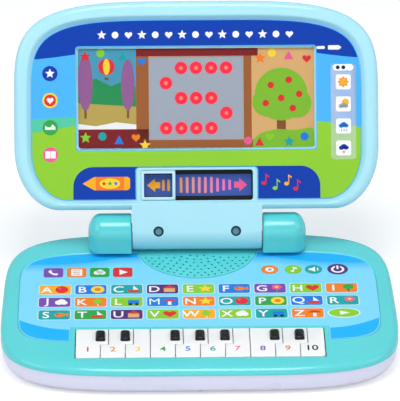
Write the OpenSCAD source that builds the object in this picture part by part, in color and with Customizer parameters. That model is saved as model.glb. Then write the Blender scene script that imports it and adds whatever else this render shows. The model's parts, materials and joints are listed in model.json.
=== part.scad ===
// Toy laptop: a wedge-shaped base with a printed membrane keypad, a speaker and ten piano keys, and a lid
// with a dot display and a sliding window, joined by a barrel hinge between two lugs.
// Lengths are in millimetres and angles in degrees. +Z is up and the user sits at -Y. The origin is on the
// table under the middle of the part's bounding box. The lid is drawn open, at its stop.

/* [Base] */
// Width of the base at its widest
base_w = 299; // [288:1:310]
// Depth of the base, front to back
base_d = 202; // [198:1:208]
// Height of the deck above the table at the front edge
deck_front_h = 23; // [22.5:0.5:28]
// Slope of the deck, rising to the back
deck_slope = 4; // [3:0.25:5]
// Height of the seam between the two base shells
seam_h = 17.5; // [16.5:0.25:17.75]
// Wall of the casings
wall = 2.5; // [2:0.25:3]
// Thickness of the deck and the plate of the lid's bezel
deck_t = 3; // [2.75:0.25:3.5]
// Radius of the rounding along the casings' edges
edge_r = 5; // [3:0.5:5]
// Height of the rubber feet below the underside
foot_h = 1.5; // [1:0.25:2]

/* [Hinge] */
// Radius of the lid's hinge barrel
barrel_r = 14; // [13:0.5:15]
// Length of the hinge barrel
barrel_len = 100.8; // [96:0.4:102]
// Gap between the barrel and the deck under it
barrel_gap = 0.5; // [0.4:0.1:1]
// Gap between the barrel's ends and the lugs
lug_gap = 0.6; // [0.4:0.1:1]
// Length of each hinge lug on the base
lug_len = 33.6; // [31:0.4:36]
// Radius of the hinge pins' journals
pin_r = 7; // [6.5:0.25:7.5]
// Lean of the open lid behind the vertical
lid_lean = 25.4; // [15:0.2:30]

/* [Piano keys] */
// Number of white keys
key_n = 10; // [10:1:10]
// Spacing of the white keys
key_pitch = 18.6; // [18:0.1:19]
// Gap between neighbouring keys
key_gap = 0.5; // [0.4:0.1:0.8]
// Distance from the hinge axis to the back edge of the white keys
key_back = 122; // [121:0.5:123]
// Distance from the front of the white keys to the front edge of the deck
key_edge = 16; // [15:0.5:18]
// Height of the white keys above the deck
key_rise = 0.4; // [0.2:0.1:0.7]
// Width of a black key
black_w = 7.5; // [6.5:0.25:8]
// Share of a white key's length that a black key covers
black_share = 0.325; // [0.3:0.005:0.35]
// Height of a black key above the white ones
black_rise = 2.5; // [1.5:0.25:2.75]
// Distance from the back edge of the white keys to the black keys
black_set = 4.5; // [4:0.25:5]

/* [Keypad and speaker] */
// Thickness of the printed overlay
overlay_t = 0.5; // [0.4:0.1:0.6]
// Thickness of the switch membrane under it
membrane_t = 0.5; // [0.4:0.1:0.6]
// Radius of the half-round speaker grille
grille_r = 46.5; // [44:0.5:48]
// Radius of one grille hole
grille_hole_r = 1; // [0.8:0.1:1.2]
// Radius of the speaker
speaker_r = 20; // [18:0.5:21]

/* [Lid] */
// Width of the lid
lid_w = 282.6; // [278:0.2:286]
// Distance from the hinge axis to the lid's bottom edge
lid_low = 17; // [16.5:0.25:18]
// Distance from the hinge axis to the lid's top edge
lid_high = 178.6; // [176:0.2:180]
// Thickness of the lid
lid_t = 20; // [19:0.5:22]
// Depth of the lid's face below its rim
face_drop = 3.5; // [3.5:0.1:4]
// Width of the display window
lens_w = 186; // [180:1:190]
// Height of the display window
lens_h = 80; // [76:1:82]
// Distance from the hinge axis to the middle of the display window
lens_mid = 103.4; // [102:0.2:104]
// Thickness of the display window
lens_t = 1.5; // [1.25:0.25:1.75]
// Spacing of the display's lights
led_pitch = 11.7; // [11:0.1:12]
// Radius of one light's cell
led_cell_r = 4.8; // [4:0.1:5]

/* [Swipe slider] */
// Width of the slider's track
track_w = 87; // [84:1:90]
// Height of the slider's track
track_h = 23.7; // [22.5:0.1:24]
// Distance from the hinge axis to the bottom of the track
track_low = 24; // [23.5:0.25:24.5]
// Width of the sliding frame
swipe_w = 26.7; // [24:0.1:28]
// Border of the sliding frame
swipe_border = 2; // [1.75:0.25:2.5]

/* [Hidden] */

round_fn = 64;
outline_n = 80;
fit_gap = 0.05;
part_gap = 0.3;
through = 1;

base_back_p = 4.7;
base_front_p = 4.3;
base_taper = 0.0135;

lug_r = barrel_r + 0.4;
back_ledge = 9.6;
hinge_back = lug_r + back_ledge;
hinge_y = base_d / 2 - hinge_back;
key_len = base_d / 2 + hinge_y - key_back - key_edge;
black_len = black_share * key_len;
hinge_z = deck_z(hinge_y) + (barrel_r + barrel_gap) / cos(deck_slope);
axis_h = barrel_r + barrel_gap;
lug_in = barrel_len / 2 + lug_gap;
lug_out = lug_in + lug_len;
lug_wall = 3;
under_z = foot_h;
floor_z = under_z + wall;

shell_teal = [0.36, 0.78, 0.78];
shell_lilac = [0.88, 0.88, 0.97];
lid_blue = [0.60, 0.86, 0.93];
board_green = [0.10, 0.40, 0.25];
steel = [0.72, 0.73, 0.75];
dark_steel = [0.22, 0.30, 0.34];

// Shapes used all over

// Height of the deck's plane above the table
function deck_z(y) = deck_front_h + (y + base_d / 2) * tan(deck_slope);

function signed_pow(v, e) = sign(v) * pow(abs(v), e);

// One corner-to-corner outline with soft corners, counter-clockwise: a and b are its half width and half
// height, p_high and p_low say how square its corners are, and taper is the share by which its far end is
// narrower and its near end wider than its middle.
function soft_outline(a, b, p_high, p_low, taper = 0, inset = 0) = [
    for (i = [0 : outline_n - 1])
        let (
            t = 360 * i / outline_n,
            p = sin(t) > 0 ? p_high : p_low,
            y = (b - inset) * signed_pow(sin(t), 2 / p),
            x = (a - inset) * signed_pow(cos(t), 2 / p) * (1 - taper * y / b)
        ) [x, y]
];

// Skin through a stack of rings, each a list of as many points, closed flat at both ends
module loft(rings) {
    n = len(rings[0]);
    last = (len(rings) - 1) * n;
    polyhedron(
        points = [for (ring = rings) each ring],
        faces = concat(
            [[for (i = [0 : n - 1]) i], [for (i = [n - 1 : -1 : 0]) last + i]],
            [for (k = [0 : len(rings) - 2], i = [0 : n - 1])
                [k * n + i, (k + 1) * n + i, (k + 1) * n + (i + 1) % n, k * n + (i + 1) % n]]
        ),
        convexity = 6
    );
}

function unit(v) = v / norm(v);

// A route with each inner corner rounded, starting the bend r before it
function bend(route, r) = [
    route[0],
    for (i = [1 : len(route) - 2])
        let (q = route[i], a = q + r * unit(route[i - 1] - q), b = q + r * unit(route[i + 1] - q))
            for (t = [0 : 0.2 : 1]) (1 - t) * (1 - t) * a + 2 * t * (1 - t) * q + t * t * b,
    route[len(route) - 1]
];

function along(p, i) = unit(
    (i == len(p) - 1 ? [0, 0, 0] : unit(p[i + 1] - p[i])) + (i == 0 ? [0, 0, 0] : unit(p[i] - p[i - 1])));

// A direction across the route at each of its points, turning as little as it can from one to the next
function across(p, i) = i == 0
    ? unit(cross(along(p, 0), [0.3, 0.2, 0.9]))
    : let (t = along(p, i), s = across(p, i - 1)) unit(s - t * (s * t));

// A round cable swept along a route
module cable(route, r) {
    sides = 8;
    p = bend(route, 3 * r);
    loft([
        for (i = [0 : len(p) - 1])
            let (t = along(p, i), s = across(p, i), u = cross(t, s))
                [for (k = [0 : sides - 1]) p[i] + r * (cos(360 * k / sides) * s + sin(360 * k / sides) * u)]
    ]);
}

// A plate with round corners, its middle on the origin
module plate(w, h, t, r) {
    linear_extrude(t) round_rect(w, h, r);
}

module round_rect(w, h, r) {
    square([w - 2 * r, h], center = true);
    square([w, h - 2 * r], center = true);
    for (x = [-1, 1], y = [-1, 1]) translate([x * (w / 2 - r), y * (h / 2 - r)]) circle(r = r, $fn = 32);
}

// A cylinder along X from x to x + len
module x_bar(x, len, r) {
    translate([x, 0, 0]) rotate([0, 90, 0]) cylinder(h = len, r = r, $fn = round_fn);
}

// A screw whose head's underside is at the origin, with its shank along +Z
module screw(head_r, head_h, shank_r, shank_len) {
    difference() {
        union() {
            translate([0, 0, -head_h]) cylinder(h = head_h, r = head_r, $fn = 32);
            cylinder(h = shank_len, r = shank_r, $fn = 32);
        }
        slot_t = head_r / 4;
        for (a = [0, 90]) rotate(a)
            translate([-head_r * 0.6, -slot_t / 2, -head_h - through])
                cube([head_r * 1.2, slot_t, head_h / 2 + through]);
    }
}

// Moves children, drawn with their top at the deck's plane and the hinge axis over y = 0, onto the deck
module in_deck() {
    translate([0, hinge_y, hinge_z]) rotate([deck_slope, 0, 0]) translate([0, 0, -axis_h]) children();
}

// Moves children, drawn with the hinge on the x axis, up as +Y and the face towards +Z, onto the open lid
module in_lid() {
    translate([0, hinge_y, hinge_z]) rotate([90 - lid_lean, 0, 0]) children();
}

module mirror_x() {
    children();
    mirror([1, 0, 0]) children();
}

// Base shells

function base_ring(inset) =
    soft_outline(base_w / 2, base_d / 2, base_back_p, base_front_p, base_taper, inset);

function flat_ring(outline, z) = [for (p = outline) [p.x, p.y, z]];

function deck_ring(outline, drop) = [for (p = outline) [p.x, p.y, deck_z(p.y) - drop]];

round_steps = [0 : 22.5 : 90];

belly_h = 11;
belly_inset = 8;
shell_step = 0.6;

casing_boss_xy = [[122, -62.5], [130, 0.5], [100, 65.5]];
casing_boss_r = 4.5;
screw_hole_r = 1.6;
screw_shank_r = 1.4;
screw_head_r = 3;
screw_head_h = 2;
casing_screw_len = 11.5;
casing_screw_z = seam_h - 7;

bay_w = 59;
bay_d = 46.5;
bay_wall = 2;
bay_y = 1.5;
cell_r = 7.25;
cell_len = 50.5;
cell_z = under_z + wall / 2 + cell_r + fit_gap;
bay_roof_z = cell_z + cell_r + part_gap;
door_lip = 2;
door_screw_x = bay_w / 2 + casing_boss_r + 1;

board_w = 74;
board_d = 66;
board_t = 1.6;
board_x = -83;
board_y = -2.5;
board_z = floor_z + 5;
board_post_r = 3;
board_hole_inset = 4;

// The rounded lower body of the base, from the underside to the seam
module bottom_body(inset) {
    loft([
        for (a = [0 : 18 : 90])
            flat_ring(base_ring(inset + shell_step + belly_inset * (1 - sin(a))),
                      under_z + inset + (belly_h - inset) * (1 - cos(a))),
        flat_ring(base_ring(inset + shell_step), seam_h)
    ]);
}

module casing_boss_places() {
    for (x = [-1, 1], p = casing_boss_xy) translate([x * p.x, p.y, 0]) children();
}

module board_hole_places() {
    for (x = [-1, 1], y = [-1, 1])
        translate([board_x + x * (board_w / 2 - board_hole_inset),
                   board_y + y * (board_d / 2 - board_hole_inset), 0]) children();
}

module bottom_shell() {
    color(shell_lilac)
    difference() {
        union() {
            difference() {
                bottom_body(0);
                loft([
                    for (a = [0 : 30 : 90])
                        flat_ring(base_ring(wall + shell_step + belly_inset * (1 - sin(a))),
                                  floor_z + (belly_h - wall) * (1 - cos(a))),
                    flat_ring(base_ring(wall + shell_step), seam_h + through)
                ]);
            }
            casing_boss_places() translate([0, 0, under_z + wall / 2])
                cylinder(h = seam_h - under_z - wall / 2, r = casing_boss_r, $fn = 32);
            board_hole_places() translate([0, 0, floor_z - through])
                cylinder(h = board_z - floor_z + through, r = board_post_r, $fn = 32);
            battery_bay_walls();
            key_board_ribs();
        }
        casing_boss_places() {
            translate([0, 0, -through])
                cylinder(h = casing_screw_z + through, r = screw_head_r + part_gap, $fn = 32);
            cylinder(h = seam_h + through, r = screw_hole_r, $fn = 32);
        }
        board_hole_places() translate([0, 0, floor_z])
            cylinder(h = board_z, r = screw_shank_r + fit_gap, $fn = 32);
        translate([-bay_w / 2, bay_y - bay_d / 2, -through]) cube([bay_w, bay_d, bay_roof_z + through]);
        battery_door_seat(part_gap);
        foot_places() translate([0, 0, under_z - through])
            cylinder(h = through + foot_seat, r = foot_r + fit_gap, $fn = 48);
    }
}

// Walls and roof of the battery bay, and the boss of the door's screw
module battery_bay_walls() {
    translate([-bay_w / 2 - bay_wall, bay_y - bay_d / 2 - bay_wall, under_z + wall / 2])
        cube([bay_w + 2 * bay_wall, bay_d + 2 * bay_wall, bay_roof_z + bay_wall - under_z - wall / 2]);
    translate([door_screw_x, bay_y, under_z + wall / 2])
        cylinder(h = door_boss_top - under_z - wall / 2, r = casing_boss_r, $fn = 32);
}

door_boss_top = floor_z + 10;
door_screw_len = 8;

// The space in the underside that the battery door fills, larger by gap on each side
module battery_door_seat(gap) {
    door_plan(gap, under_z - through, wall / 2 + through);
    translate([door_screw_x, bay_y, under_z])
        cylinder(h = door_screw_len + through, r = screw_shank_r + fit_gap, $fn = 32);
}

module door_plan(gap, z, h) {
    translate([0, bay_y, z]) linear_extrude(h) {
        square([bay_w + 2 * door_lip + 2 * gap, bay_d + 2 * door_lip + 2 * gap], center = true);
        translate([door_screw_x, 0]) circle(r = casing_boss_r + gap, $fn = round_fn);
    }
}

foot_r = 6;
foot_seat = 0.8;
foot_xy = [[100, -66.5], [80, 74]];
front_foot_y = -base_d / 2 + belly_inset + foot_r + 1;

module foot_places() {
    for (x = [-1, 1], p = foot_xy) translate([x * p.x, p.y, 0]) children();
    translate([0, front_foot_y, 0]) children();
}

module rubber_feet() {
    color([0.13, 0.13, 0.14])
    foot_places() cylinder(h = under_z + foot_seat, r = foot_r, $fn = 48);
}

// Deck, lugs and the pieces under the deck

overlay_a = base_w / 2 - 12.7;
overlay_share = 0.4125;
overlay_front = key_back + overlay_share * key_len;
overlay_back = 7;
overlay_b = (overlay_front - overlay_back) / 2;
overlay_mid = (overlay_front + overlay_back) / 2;
overlay_back_p = 5.5;
overlay_front_p = 7.5;
recess_h = overlay_t + membrane_t + 0.5;

well_gap = 0.7;
key_front = key_back + key_len;
keys_w = key_n * key_pitch;
key_frame = 4;
key_back_frame = 3;

module overlay_plan(inset) {
    difference() {
        translate([0, -overlay_mid])
            polygon(soft_outline(overlay_a, overlay_b, overlay_back_p, overlay_front_p, 0, inset));
        circle(r = grille_r + inset, $fn = 2 * round_fn);
        translate([-keys_w / 2 - key_frame - inset, -key_front - key_edge])
            square([keys_w + 2 * (key_frame + inset),
                    key_front + key_edge - key_back + key_gap + key_back_frame + inset]);
    }
}

module keypad_overlay() {
    color([0.45, 0.80, 0.98])
    in_deck() translate([0, 0, -recess_h + membrane_t]) linear_extrude(overlay_t) overlay_plan(0.2);
}

module switch_membrane() {
    color([0.80, 0.84, 0.80])
    in_deck() translate([0, 0, -recess_h]) linear_extrude(membrane_t) overlay_plan(0.6);
}

speaker_mid = 27;
grille_arcs = [14, 19, 24, 29, 34, 39, 43];
grille_step = 5.4;
grille_clear = 11.5;

// Holes on arcs round the hinge's middle, in front of the barrel
module grille_holes() {
    for (r = grille_arcs) {
        n = floor(PI * r / grille_step);
        for (i = [0 : n]) {
            a = 180 + 180 * i / n;
            if (-r * sin(a) > grille_clear)
                translate([r * cos(a), r * sin(a), -deck_t - through])
                    cylinder(h = deck_t + 2 * through, r = grille_hole_r, $fn = 24);
        }
    }
}

key_pivot_back = 14;
key_pivot = key_back - key_pivot_back;
pivot_h = -6.8;
rod_r = 1.5;
bracket_t = 3;
stem_r = 2.4;
stem_share = 0.7;
stem_d = key_back + stem_share * key_len;
board_rest_h = -14;
dome_h = 2.1;
dome_sheet_t = 1;
stem_low = board_rest_h + board_t + dome_sheet_t + dome_h + part_gap;
key_board_w = keys_w + 2 * key_frame + 8;
key_board_d = 24;
key_post_x = keys_w / 2 + key_frame + 0.5;
key_post_r = 3;

black_after = [0, 1, 3, 4, 5, 7, 8];
jog = 6;
jog_share = 0.1;
jog_d = key_back + black_set + black_len + jog_share * key_len;

function key_left(i) = -keys_w / 2 + i * key_pitch;
function has_black(i) = len(search(i, black_after)) > 0;
function jog_of(i) = has_black(i) ? jog : 0;
// Middle of the back part of a white key, where its lever is
function lever_x(i) = key_left(i) + key_pitch / 2 + (jog_of(i - 1) + jog_of(i)) / 2;

lever_w = 10.6;
bracket_after = [2, 6];

function bracket_xs() = concat(
    [lever_x(0) - lever_w / 2 - bracket_t / 2 - part_gap],
    [for (i = bracket_after) (lever_x(i) + lever_x(i + 1)) / 2],
    [lever_x(key_n - 1) + lever_w / 2 + bracket_t / 2 + part_gap]
);

module key_brackets() {
    for (x = bracket_xs())
        translate([x, -key_pivot, pivot_h]) difference() {
            union() {
                x_bar(-bracket_t / 2, bracket_t, rod_r + 2.4);
                translate([-bracket_t / 2, -rod_r - 2, 0])
                    cube([bracket_t, 2 * rod_r + 4, -pivot_h - deck_t + 0.5]);
            }
            x_bar(-bracket_t, 2 * bracket_t, rod_r + fit_gap);
        }
}

module key_posts() {
    for (x = [-1, 1]) translate([x * key_post_x, -stem_d, board_rest_h + board_t]) difference() {
        cylinder(h = -board_rest_h - board_t - deck_t + 0.5, r = key_post_r, $fn = 32);
        translate([0, 0, -through]) cylinder(h = 7, r = screw_shank_r + fit_gap, $fn = 32);
    }
}

// Ribs that stand on the floor and carry the key board
module key_board_ribs() {
    rib_w = 3;
    rib_d = key_board_d / 2;
    intersection() {
        in_deck() for (x = [-1, 1]) translate([x * keys_w / 4 - rib_w / 2, -stem_d - rib_d / 2, -hinge_z])
            cube([rib_w, rib_d, hinge_z + board_rest_h]);
        translate([-base_w / 2, -base_d / 2, floor_z - 0.5]) cube([base_w, base_d, seam_h]);
    }
}

speaker_shank_r = 1.2;
speaker_boss_h = 4;
speaker_screw_len = 3.5;
speaker_screw_r = speaker_r + 7;
speaker_flange_r = speaker_r + 5;

module speaker_screw_places() {
    for (a = [30, 150, 270])
        translate([speaker_screw_r * cos(a), -speaker_mid + speaker_screw_r * sin(a), 0]) children();
}

lug_inner_r = lug_r - 2.4;
lug_ball_x = lug_out - lug_r;
lug_root = deck_t - fit_gap;

// A lug that is round on top and at its outer end and stands upright on the deck
module lug_outside() {
    in_deck() hull() {
        translate([lug_ball_x, 0, axis_h]) sphere(r = lug_r, $fn = 32);
        translate([lug_in, 0, axis_h]) x_bar(0, 1, lug_r);
        translate([lug_ball_x, 0, -lug_root]) cylinder(h = 1, r = lug_r, $fn = 32);
        translate([lug_in, -lug_r, -lug_root]) cube([1, 2 * lug_r, 1]);
    }
}

module lug_inside() {
    translate([0, hinge_y, hinge_z]) {
        x_bar(lug_in + lug_wall, lug_ball_x - lug_in + lug_r / 3 - lug_wall, lug_inner_r);
        x_bar(lug_in - through, lug_wall + 2 * through, pin_r + fit_gap);
    }
}

cable_r = 2;
pin_flange_t = 2.5;
duct_x = -(lug_in + lug_wall + pin_flange_t + 9.5);
duct_r = cable_r + 1;

module top_casing() {
    color(shell_teal) {
        difference() {
            union() {
                difference() {
                    loft([
                        flat_ring(base_ring(0), seam_h),
                        for (a = round_steps)
                            deck_ring(base_ring(edge_r * (1 - cos(a))), edge_r * (1 - sin(a)))
                    ]);
                    loft([
                        flat_ring(base_ring(wall), seam_h - through),
                        deck_ring(base_ring(wall), deck_t)
                    ]);
                }
                mirror_x() lug_outside();
            }
            mirror_x() lug_inside();
            in_deck() {
                translate([0, 0, -recess_h]) linear_extrude(recess_h + through) overlay_plan(0);
                grille_holes();
                translate([-keys_w / 2 - well_gap + key_gap / 2, -key_front - well_gap, -deck_t - 5])
                    cube([keys_w + 2 * well_gap - key_gap, key_len + 1.2 * well_gap, deck_t + 10]);
            }
            translate([duct_x, hinge_y, hinge_z - lug_r - 2 * deck_t])
                cylinder(h = lug_r, r = duct_r, $fn = 32);
        }
        in_deck() {
            key_brackets();
            key_posts();
            speaker_screw_places() translate([0, 0, -deck_t - speaker_boss_h]) difference() {
                cylinder(h = speaker_boss_h + 0.5, r = speaker_shank_r + 0.7, $fn = 32);
                translate([0, 0, -through])
                    cylinder(h = speaker_screw_len + through, r = speaker_shank_r + fit_gap, $fn = 32);
            }
        }
        difference() {
            intersection() {
                casing_boss_places() translate([0, 0, seam_h])
                    cylinder(h = hinge_z - seam_h, r = casing_boss_r, $fn = 32);
                loft([
                    flat_ring(base_ring(wall / 2), seam_h - through),
                    deck_ring(base_ring(wall / 2), deck_t / 2)
                ]);
            }
            casing_boss_places() cylinder(h = casing_screw_z + casing_screw_len + fit_gap,
                                          r = screw_shank_r + fit_gap, $fn = 32);
        }
    }
}

// Pieces inside the base

module main_board() {
    color(board_green)
    translate([board_x, board_y, board_z]) difference() {
        plate(board_w, board_d, board_t, 2);
        for (x = [-1, 1], y = [-1, 1])
            translate([x * (board_w / 2 - board_hole_inset), y * (board_d / 2 - board_hole_inset), -through])
                cylinder(h = board_t + 2 * through, r = screw_hole_r, $fn = 32);
    }
}

plug_x = duct_x;
plug_y = board_y + board_d / 2 - 5;
plug_h = 5;

// A sealed chip under its drop of resin, a square chip, two capacitors, a crystal and the cable's plug
module board_components() {
    color([0.10, 0.10, 0.11])
    translate([board_x, board_y, board_z + board_t]) {
        intersection() {
            translate([-14, 6, -11]) sphere(r = 14, $fn = round_fn);
            translate([-30, -30, 0]) cube(60);
        }
        translate([4, -20, 0]) cube([14, 14, 1.8]);
        translate([-26, -20, 0]) cylinder(h = 9, r = 3.2, $fn = 32);
        translate([-17, -20, 0]) cylinder(h = 9, r = 3.2, $fn = 32);
        translate([14, 8, 0]) cube([8, 3.4, 3]);
        translate([plug_x - board_x - 6, plug_y - board_y - 3, 0]) cube([12, 6, plug_h]);
    }
}

module board_screws() {
    color(dark_steel)
    board_hole_places() translate([0, 0, board_z + board_t]) mirror([0, 0, 1])
        screw(screw_hole_r + 1, 1.4, screw_shank_r, 5);
}

speaker_flange_t = 1.2;
speaker_depth = 7;
magnet_r = 0.62 * speaker_r;
magnet_h = 5;

// The pressed basket of the speaker: a flange, a slanted wall and a seat for the magnet
module speaker_frame() {
    color(steel)
    in_deck() translate([0, -speaker_mid, -deck_t]) rotate_extrude($fn = round_fn)
        polygon([
            [speaker_flange_r, 0], [speaker_flange_r, -speaker_flange_t], [speaker_r + 1, -speaker_flange_t],
            [magnet_r + 1, -speaker_depth - speaker_flange_t], [0, -speaker_depth - speaker_flange_t],
            [0, -speaker_depth], [magnet_r, -speaker_depth], [speaker_r, 0]
        ]);
}

module speaker_cone() {
    color([0.16, 0.15, 0.15])
    in_deck() translate([0, -speaker_mid, -deck_t]) rotate_extrude($fn = round_fn)
        polygon([
            [speaker_r - 1.2, -0.4], [speaker_r - 3, -1.6], [magnet_r * 0.6, -speaker_depth + 1],
            [0, -speaker_depth + 2], [0, -speaker_depth], [magnet_r * 0.7, -speaker_depth],
            [magnet_r * 0.7, -speaker_depth + 0.6], [speaker_r - 2.8, -2.2], [speaker_r - 1.2, -0.8]
        ]);
}

module speaker_magnet() {
    color([0.35, 0.35, 0.37])
    in_deck() translate([0, -speaker_mid, -deck_t - speaker_depth - speaker_flange_t - magnet_h])
        cylinder(h = magnet_h, r = magnet_r, $fn = round_fn);
}

module speaker_screws() {
    color(dark_steel)
    in_deck() speaker_screw_places() translate([0, 0, -deck_t - speaker_boss_h])
        screw(screw_head_r, 1.2, speaker_shank_r, speaker_screw_len);
}

module battery_door() {
    color(shell_lilac)
    difference() {
        door_plan(0, under_z, wall / 2);
        translate([door_screw_x, bay_y, under_z - through])
            cylinder(h = wall, r = screw_hole_r, $fn = 32);
        for (i = [-2 : 2])
            translate([-bay_w / 2 + 5, bay_y + i * 2 - 0.5, under_z - through]) cube([12, 1, through + 0.5]);
    }
}

door_screw_head_h = 1;

module battery_door_screw() {
    color(dark_steel)
    translate([door_screw_x, bay_y, under_z])
        screw(screw_head_r, door_screw_head_h, screw_shank_r, door_screw_len);
}

cell_n = 3;
cell_pitch = bay_d / cell_n;
contact_t = 0.5;
contact_size = 12;
cell_button_r = 2.75;
cell_button_h = 1.2;
cell_free = bay_w - cell_len - 2 * contact_t;

// Puts children, drawn with the cell's button towards +X, at each cell, every second one turned round
module cell_places() {
    for (i = [0 : cell_n - 1])
        translate([0, bay_y + (i - (cell_n - 1) / 2) * cell_pitch, cell_z])
            rotate(i % 2 == 0 ? 0 : 180) children();
}

module batteries() {
    color([0.20, 0.22, 0.25])
    cell_places() {
        cell_end = bay_w / 2 - contact_t;
        x_bar(cell_end - cell_len, cell_len - cell_button_h, cell_r);
        x_bar(cell_end - cell_button_h - 0.5, cell_button_h + 0.5, cell_button_r);
    }
}

spring_wire_r = 0.9;

// Short coil springs, close-wound, one at the flat end of each cell
module battery_springs() {
    color(steel)
    cell_places() translate([-bay_w / 2 + contact_t, 0, 0]) rotate([0, 90, 0])
        rotate_extrude($fn = 48) {
            turns = 5;
            step = (cell_free - 2 * spring_wire_r) / (turns - 1);
            difference() {
                for (i = [0 : turns - 1])
                    translate([3.4, spring_wire_r + i * step]) circle(r = 1.25 * spring_wire_r, $fn = 24);
                translate([0, -10]) square([20, 10]);
                translate([0, cell_free]) square([20, 10]);
            }
        }
}

module battery_plates() {
    color(steel)
    cell_places() for (x = [-bay_w / 2, bay_w / 2 - contact_t])
        translate([x, -contact_size / 2, -contact_size / 2]) cube([contact_t, contact_size, contact_size]);
}

module key_pivot_rod() {
    rod_end = bracket_xs()[len(bracket_xs()) - 1] + bracket_t / 2 + 1;
    rod_start = bracket_xs()[0] - bracket_t / 2 - 1;
    color(steel)
    in_deck() translate([0, -key_pivot, pivot_h]) x_bar(rod_start, rod_end - rod_start, rod_r);
}

module key_board() {
    color(board_green)
    in_deck() translate([0, -stem_d, board_rest_h]) difference() {
        plate(key_board_w, key_board_d, board_t, 2);
        for (x = [-1, 1]) translate([x * key_post_x, 0, -through])
            cylinder(h = board_t + 2 * through, r = screw_hole_r, $fn = 32);
    }
}

module key_board_screws() {
    color(dark_steel)
    in_deck() for (x = [-1, 1]) translate([x * key_post_x, -stem_d, board_rest_h])
        screw(screw_head_r, 1.4, screw_shank_r, 6);
}

dome_r = 4;
dome_wall = 0.6;

// One rubber sheet with a hollow dome under each key's stem
module key_dome_strip() {
    color([0.85, 0.85, 0.87])
    in_deck() translate([0, -stem_d, board_rest_h + board_t]) difference() {
        union() {
            translate([-keys_w / 2, -key_board_d / 2 + 4, 0]) cube([keys_w, key_board_d - 8, dome_sheet_t]);
            for (i = [0 : key_n - 1]) translate([lever_x(i), 0, dome_sheet_t / 2])
                cylinder(h = dome_sheet_t / 2 + dome_h, r1 = dome_r, r2 = dome_r * 0.7, $fn = 32);
        }
        for (i = [0 : key_n - 1]) translate([lever_x(i), 0, -through])
            cylinder(h = through + dome_sheet_t + dome_h - dome_wall, r1 = dome_r - dome_wall,
                     r2 = dome_r * 0.7 - dome_wall, $fn = 32);
    }
}

module casing_screws() {
    color(dark_steel)
    casing_boss_places() translate([0, 0, casing_screw_z])
        screw(screw_head_r, screw_head_h, screw_shank_r, casing_screw_len);
}

ring_end = lug_in + lug_wall + pin_flange_t;
cable_meet_x = ring_end + 2.5;

// Spring washers on the pins' journals, pressed against the lugs' walls
module friction_rings() {
    color(steel)
    translate([0, hinge_y, hinge_z]) mirror_x() difference() {
        x_bar(lug_in + lug_wall, pin_flange_t, lug_inner_r);
        x_bar(lug_in, lug_wall + 2 * pin_flange_t, pin_r + fit_gap);
    }
}

cable_run_z = board_z + board_t + plug_h / 2;

module base_cable() {
    color([0.75, 0.20, 0.18])
    cable([
        [plug_x, plug_y + 3, cable_run_z],
        [duct_x, hinge_y, cable_run_z],
        [duct_x, hinge_y, hinge_z],
        [-cable_meet_x, hinge_y, hinge_z]
    ], cable_r);
}

// Piano keys

key_body_h = 5.5;
key_skin = 1.6;
key_round = 1.6;
lever_top = -deck_t - part_gap;
lever_t = 5;
lever_eye_r = rod_r + 2;

// Top outline of a white key: the gap on each side steps sideways where a black key sits
module key_plan(i, inset) {
    side = key_gap / 2 + inset;
    left = key_left(i) + side;
    right = key_left(i + 1) - side;
    back_left = left + (i == 0 ? 0 : jog_of(i - 1));
    back_right = right + jog_of(i);
    polygon([
        [left, -key_front + inset], [right, -key_front + inset],
        [right, -jog_d + side], [back_right, -jog_d + side],
        [back_right, -key_back - inset], [back_left, -key_back - inset],
        [back_left, -jog_d - side], [left, -jog_d - side]
    ]);
}

module white_key(i) {
    color([0.97, 0.97, 0.98])
    in_deck() difference() {
        union() {
            translate([0, 0, -key_body_h]) linear_extrude(key_body_h + key_rise) key_plan(i, 0);
            translate([lever_x(i) - lever_w / 2, -key_back - lever_t / 2, lever_top - lever_t])
                cube([lever_w, key_pivot_back + lever_t / 2, lever_t]);
            translate([lever_x(i), -key_pivot, pivot_h]) x_bar(-lever_w / 2, lever_w, lever_eye_r);
            translate([lever_x(i), -stem_d, stem_low]) cylinder(h = -stem_low, r = stem_r, $fn = 32);
        }
        difference() {
            translate([0, 0, -key_body_h - through])
                linear_extrude(key_body_h + key_rise - key_skin + through) intersection() {
                    key_plan(i, key_skin);
                    translate([-base_w / 2, -key_front]) square([base_w, key_len - lever_t]);
                }
            translate([lever_x(i), -stem_d, -key_body_h - 2 * through])
                cylinder(h = 2 * key_body_h, r = stem_r, $fn = 32);
        }
        translate([lever_x(i), -key_pivot, pivot_h]) x_bar(-lever_w, 2 * lever_w, rod_r + fit_gap);
    }
}

black_top_inset = 0.8;

// A black key, fixed on the back of the white key at its left
module black_key(k) {
    middle = key_left(black_after[k] + 1);
    color([0.07, 0.07, 0.09])
    in_deck() translate([middle, -key_back - black_set - black_len / 2, key_rise])
        hull() {
            plate(black_w, black_len, 0.5, key_round);
            plate(black_w - 2 * black_top_inset, black_len - 2 * black_top_inset, black_rise, key_round);
        }
}

// Lid

lid_mid = (lid_high + lid_low) / 2;
lid_a = lid_w / 2;
lid_b = (lid_high - lid_low) / 2;
lid_high_p = 4;
lid_corner = [35, 48];
face_corner = [30.5, 40.5];
face_high_p = 4.6;
lid_front = barrel_r;
lid_rear = lid_front - lid_t;
rim_side = 10.5;
rim_high = 11.7;
rim_low = 4.8;
label_t = 0.5;
label_top = lid_front - face_drop;
plate_top = label_top - label_t;
plate_low = plate_top - deck_t;
face_a = lid_a - rim_side;
face_b = lid_b - (rim_high + rim_low) / 2;
face_mid = lid_mid - (rim_high - rim_low) / 2;
rim_slope = 2.5;
neck_top = lid_low + 4;
neck_w = barrel_len;
barrel_wall = 3;
barrel_in_r = barrel_r - 2.5;
flange_r = pin_r + 2.5;

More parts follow.
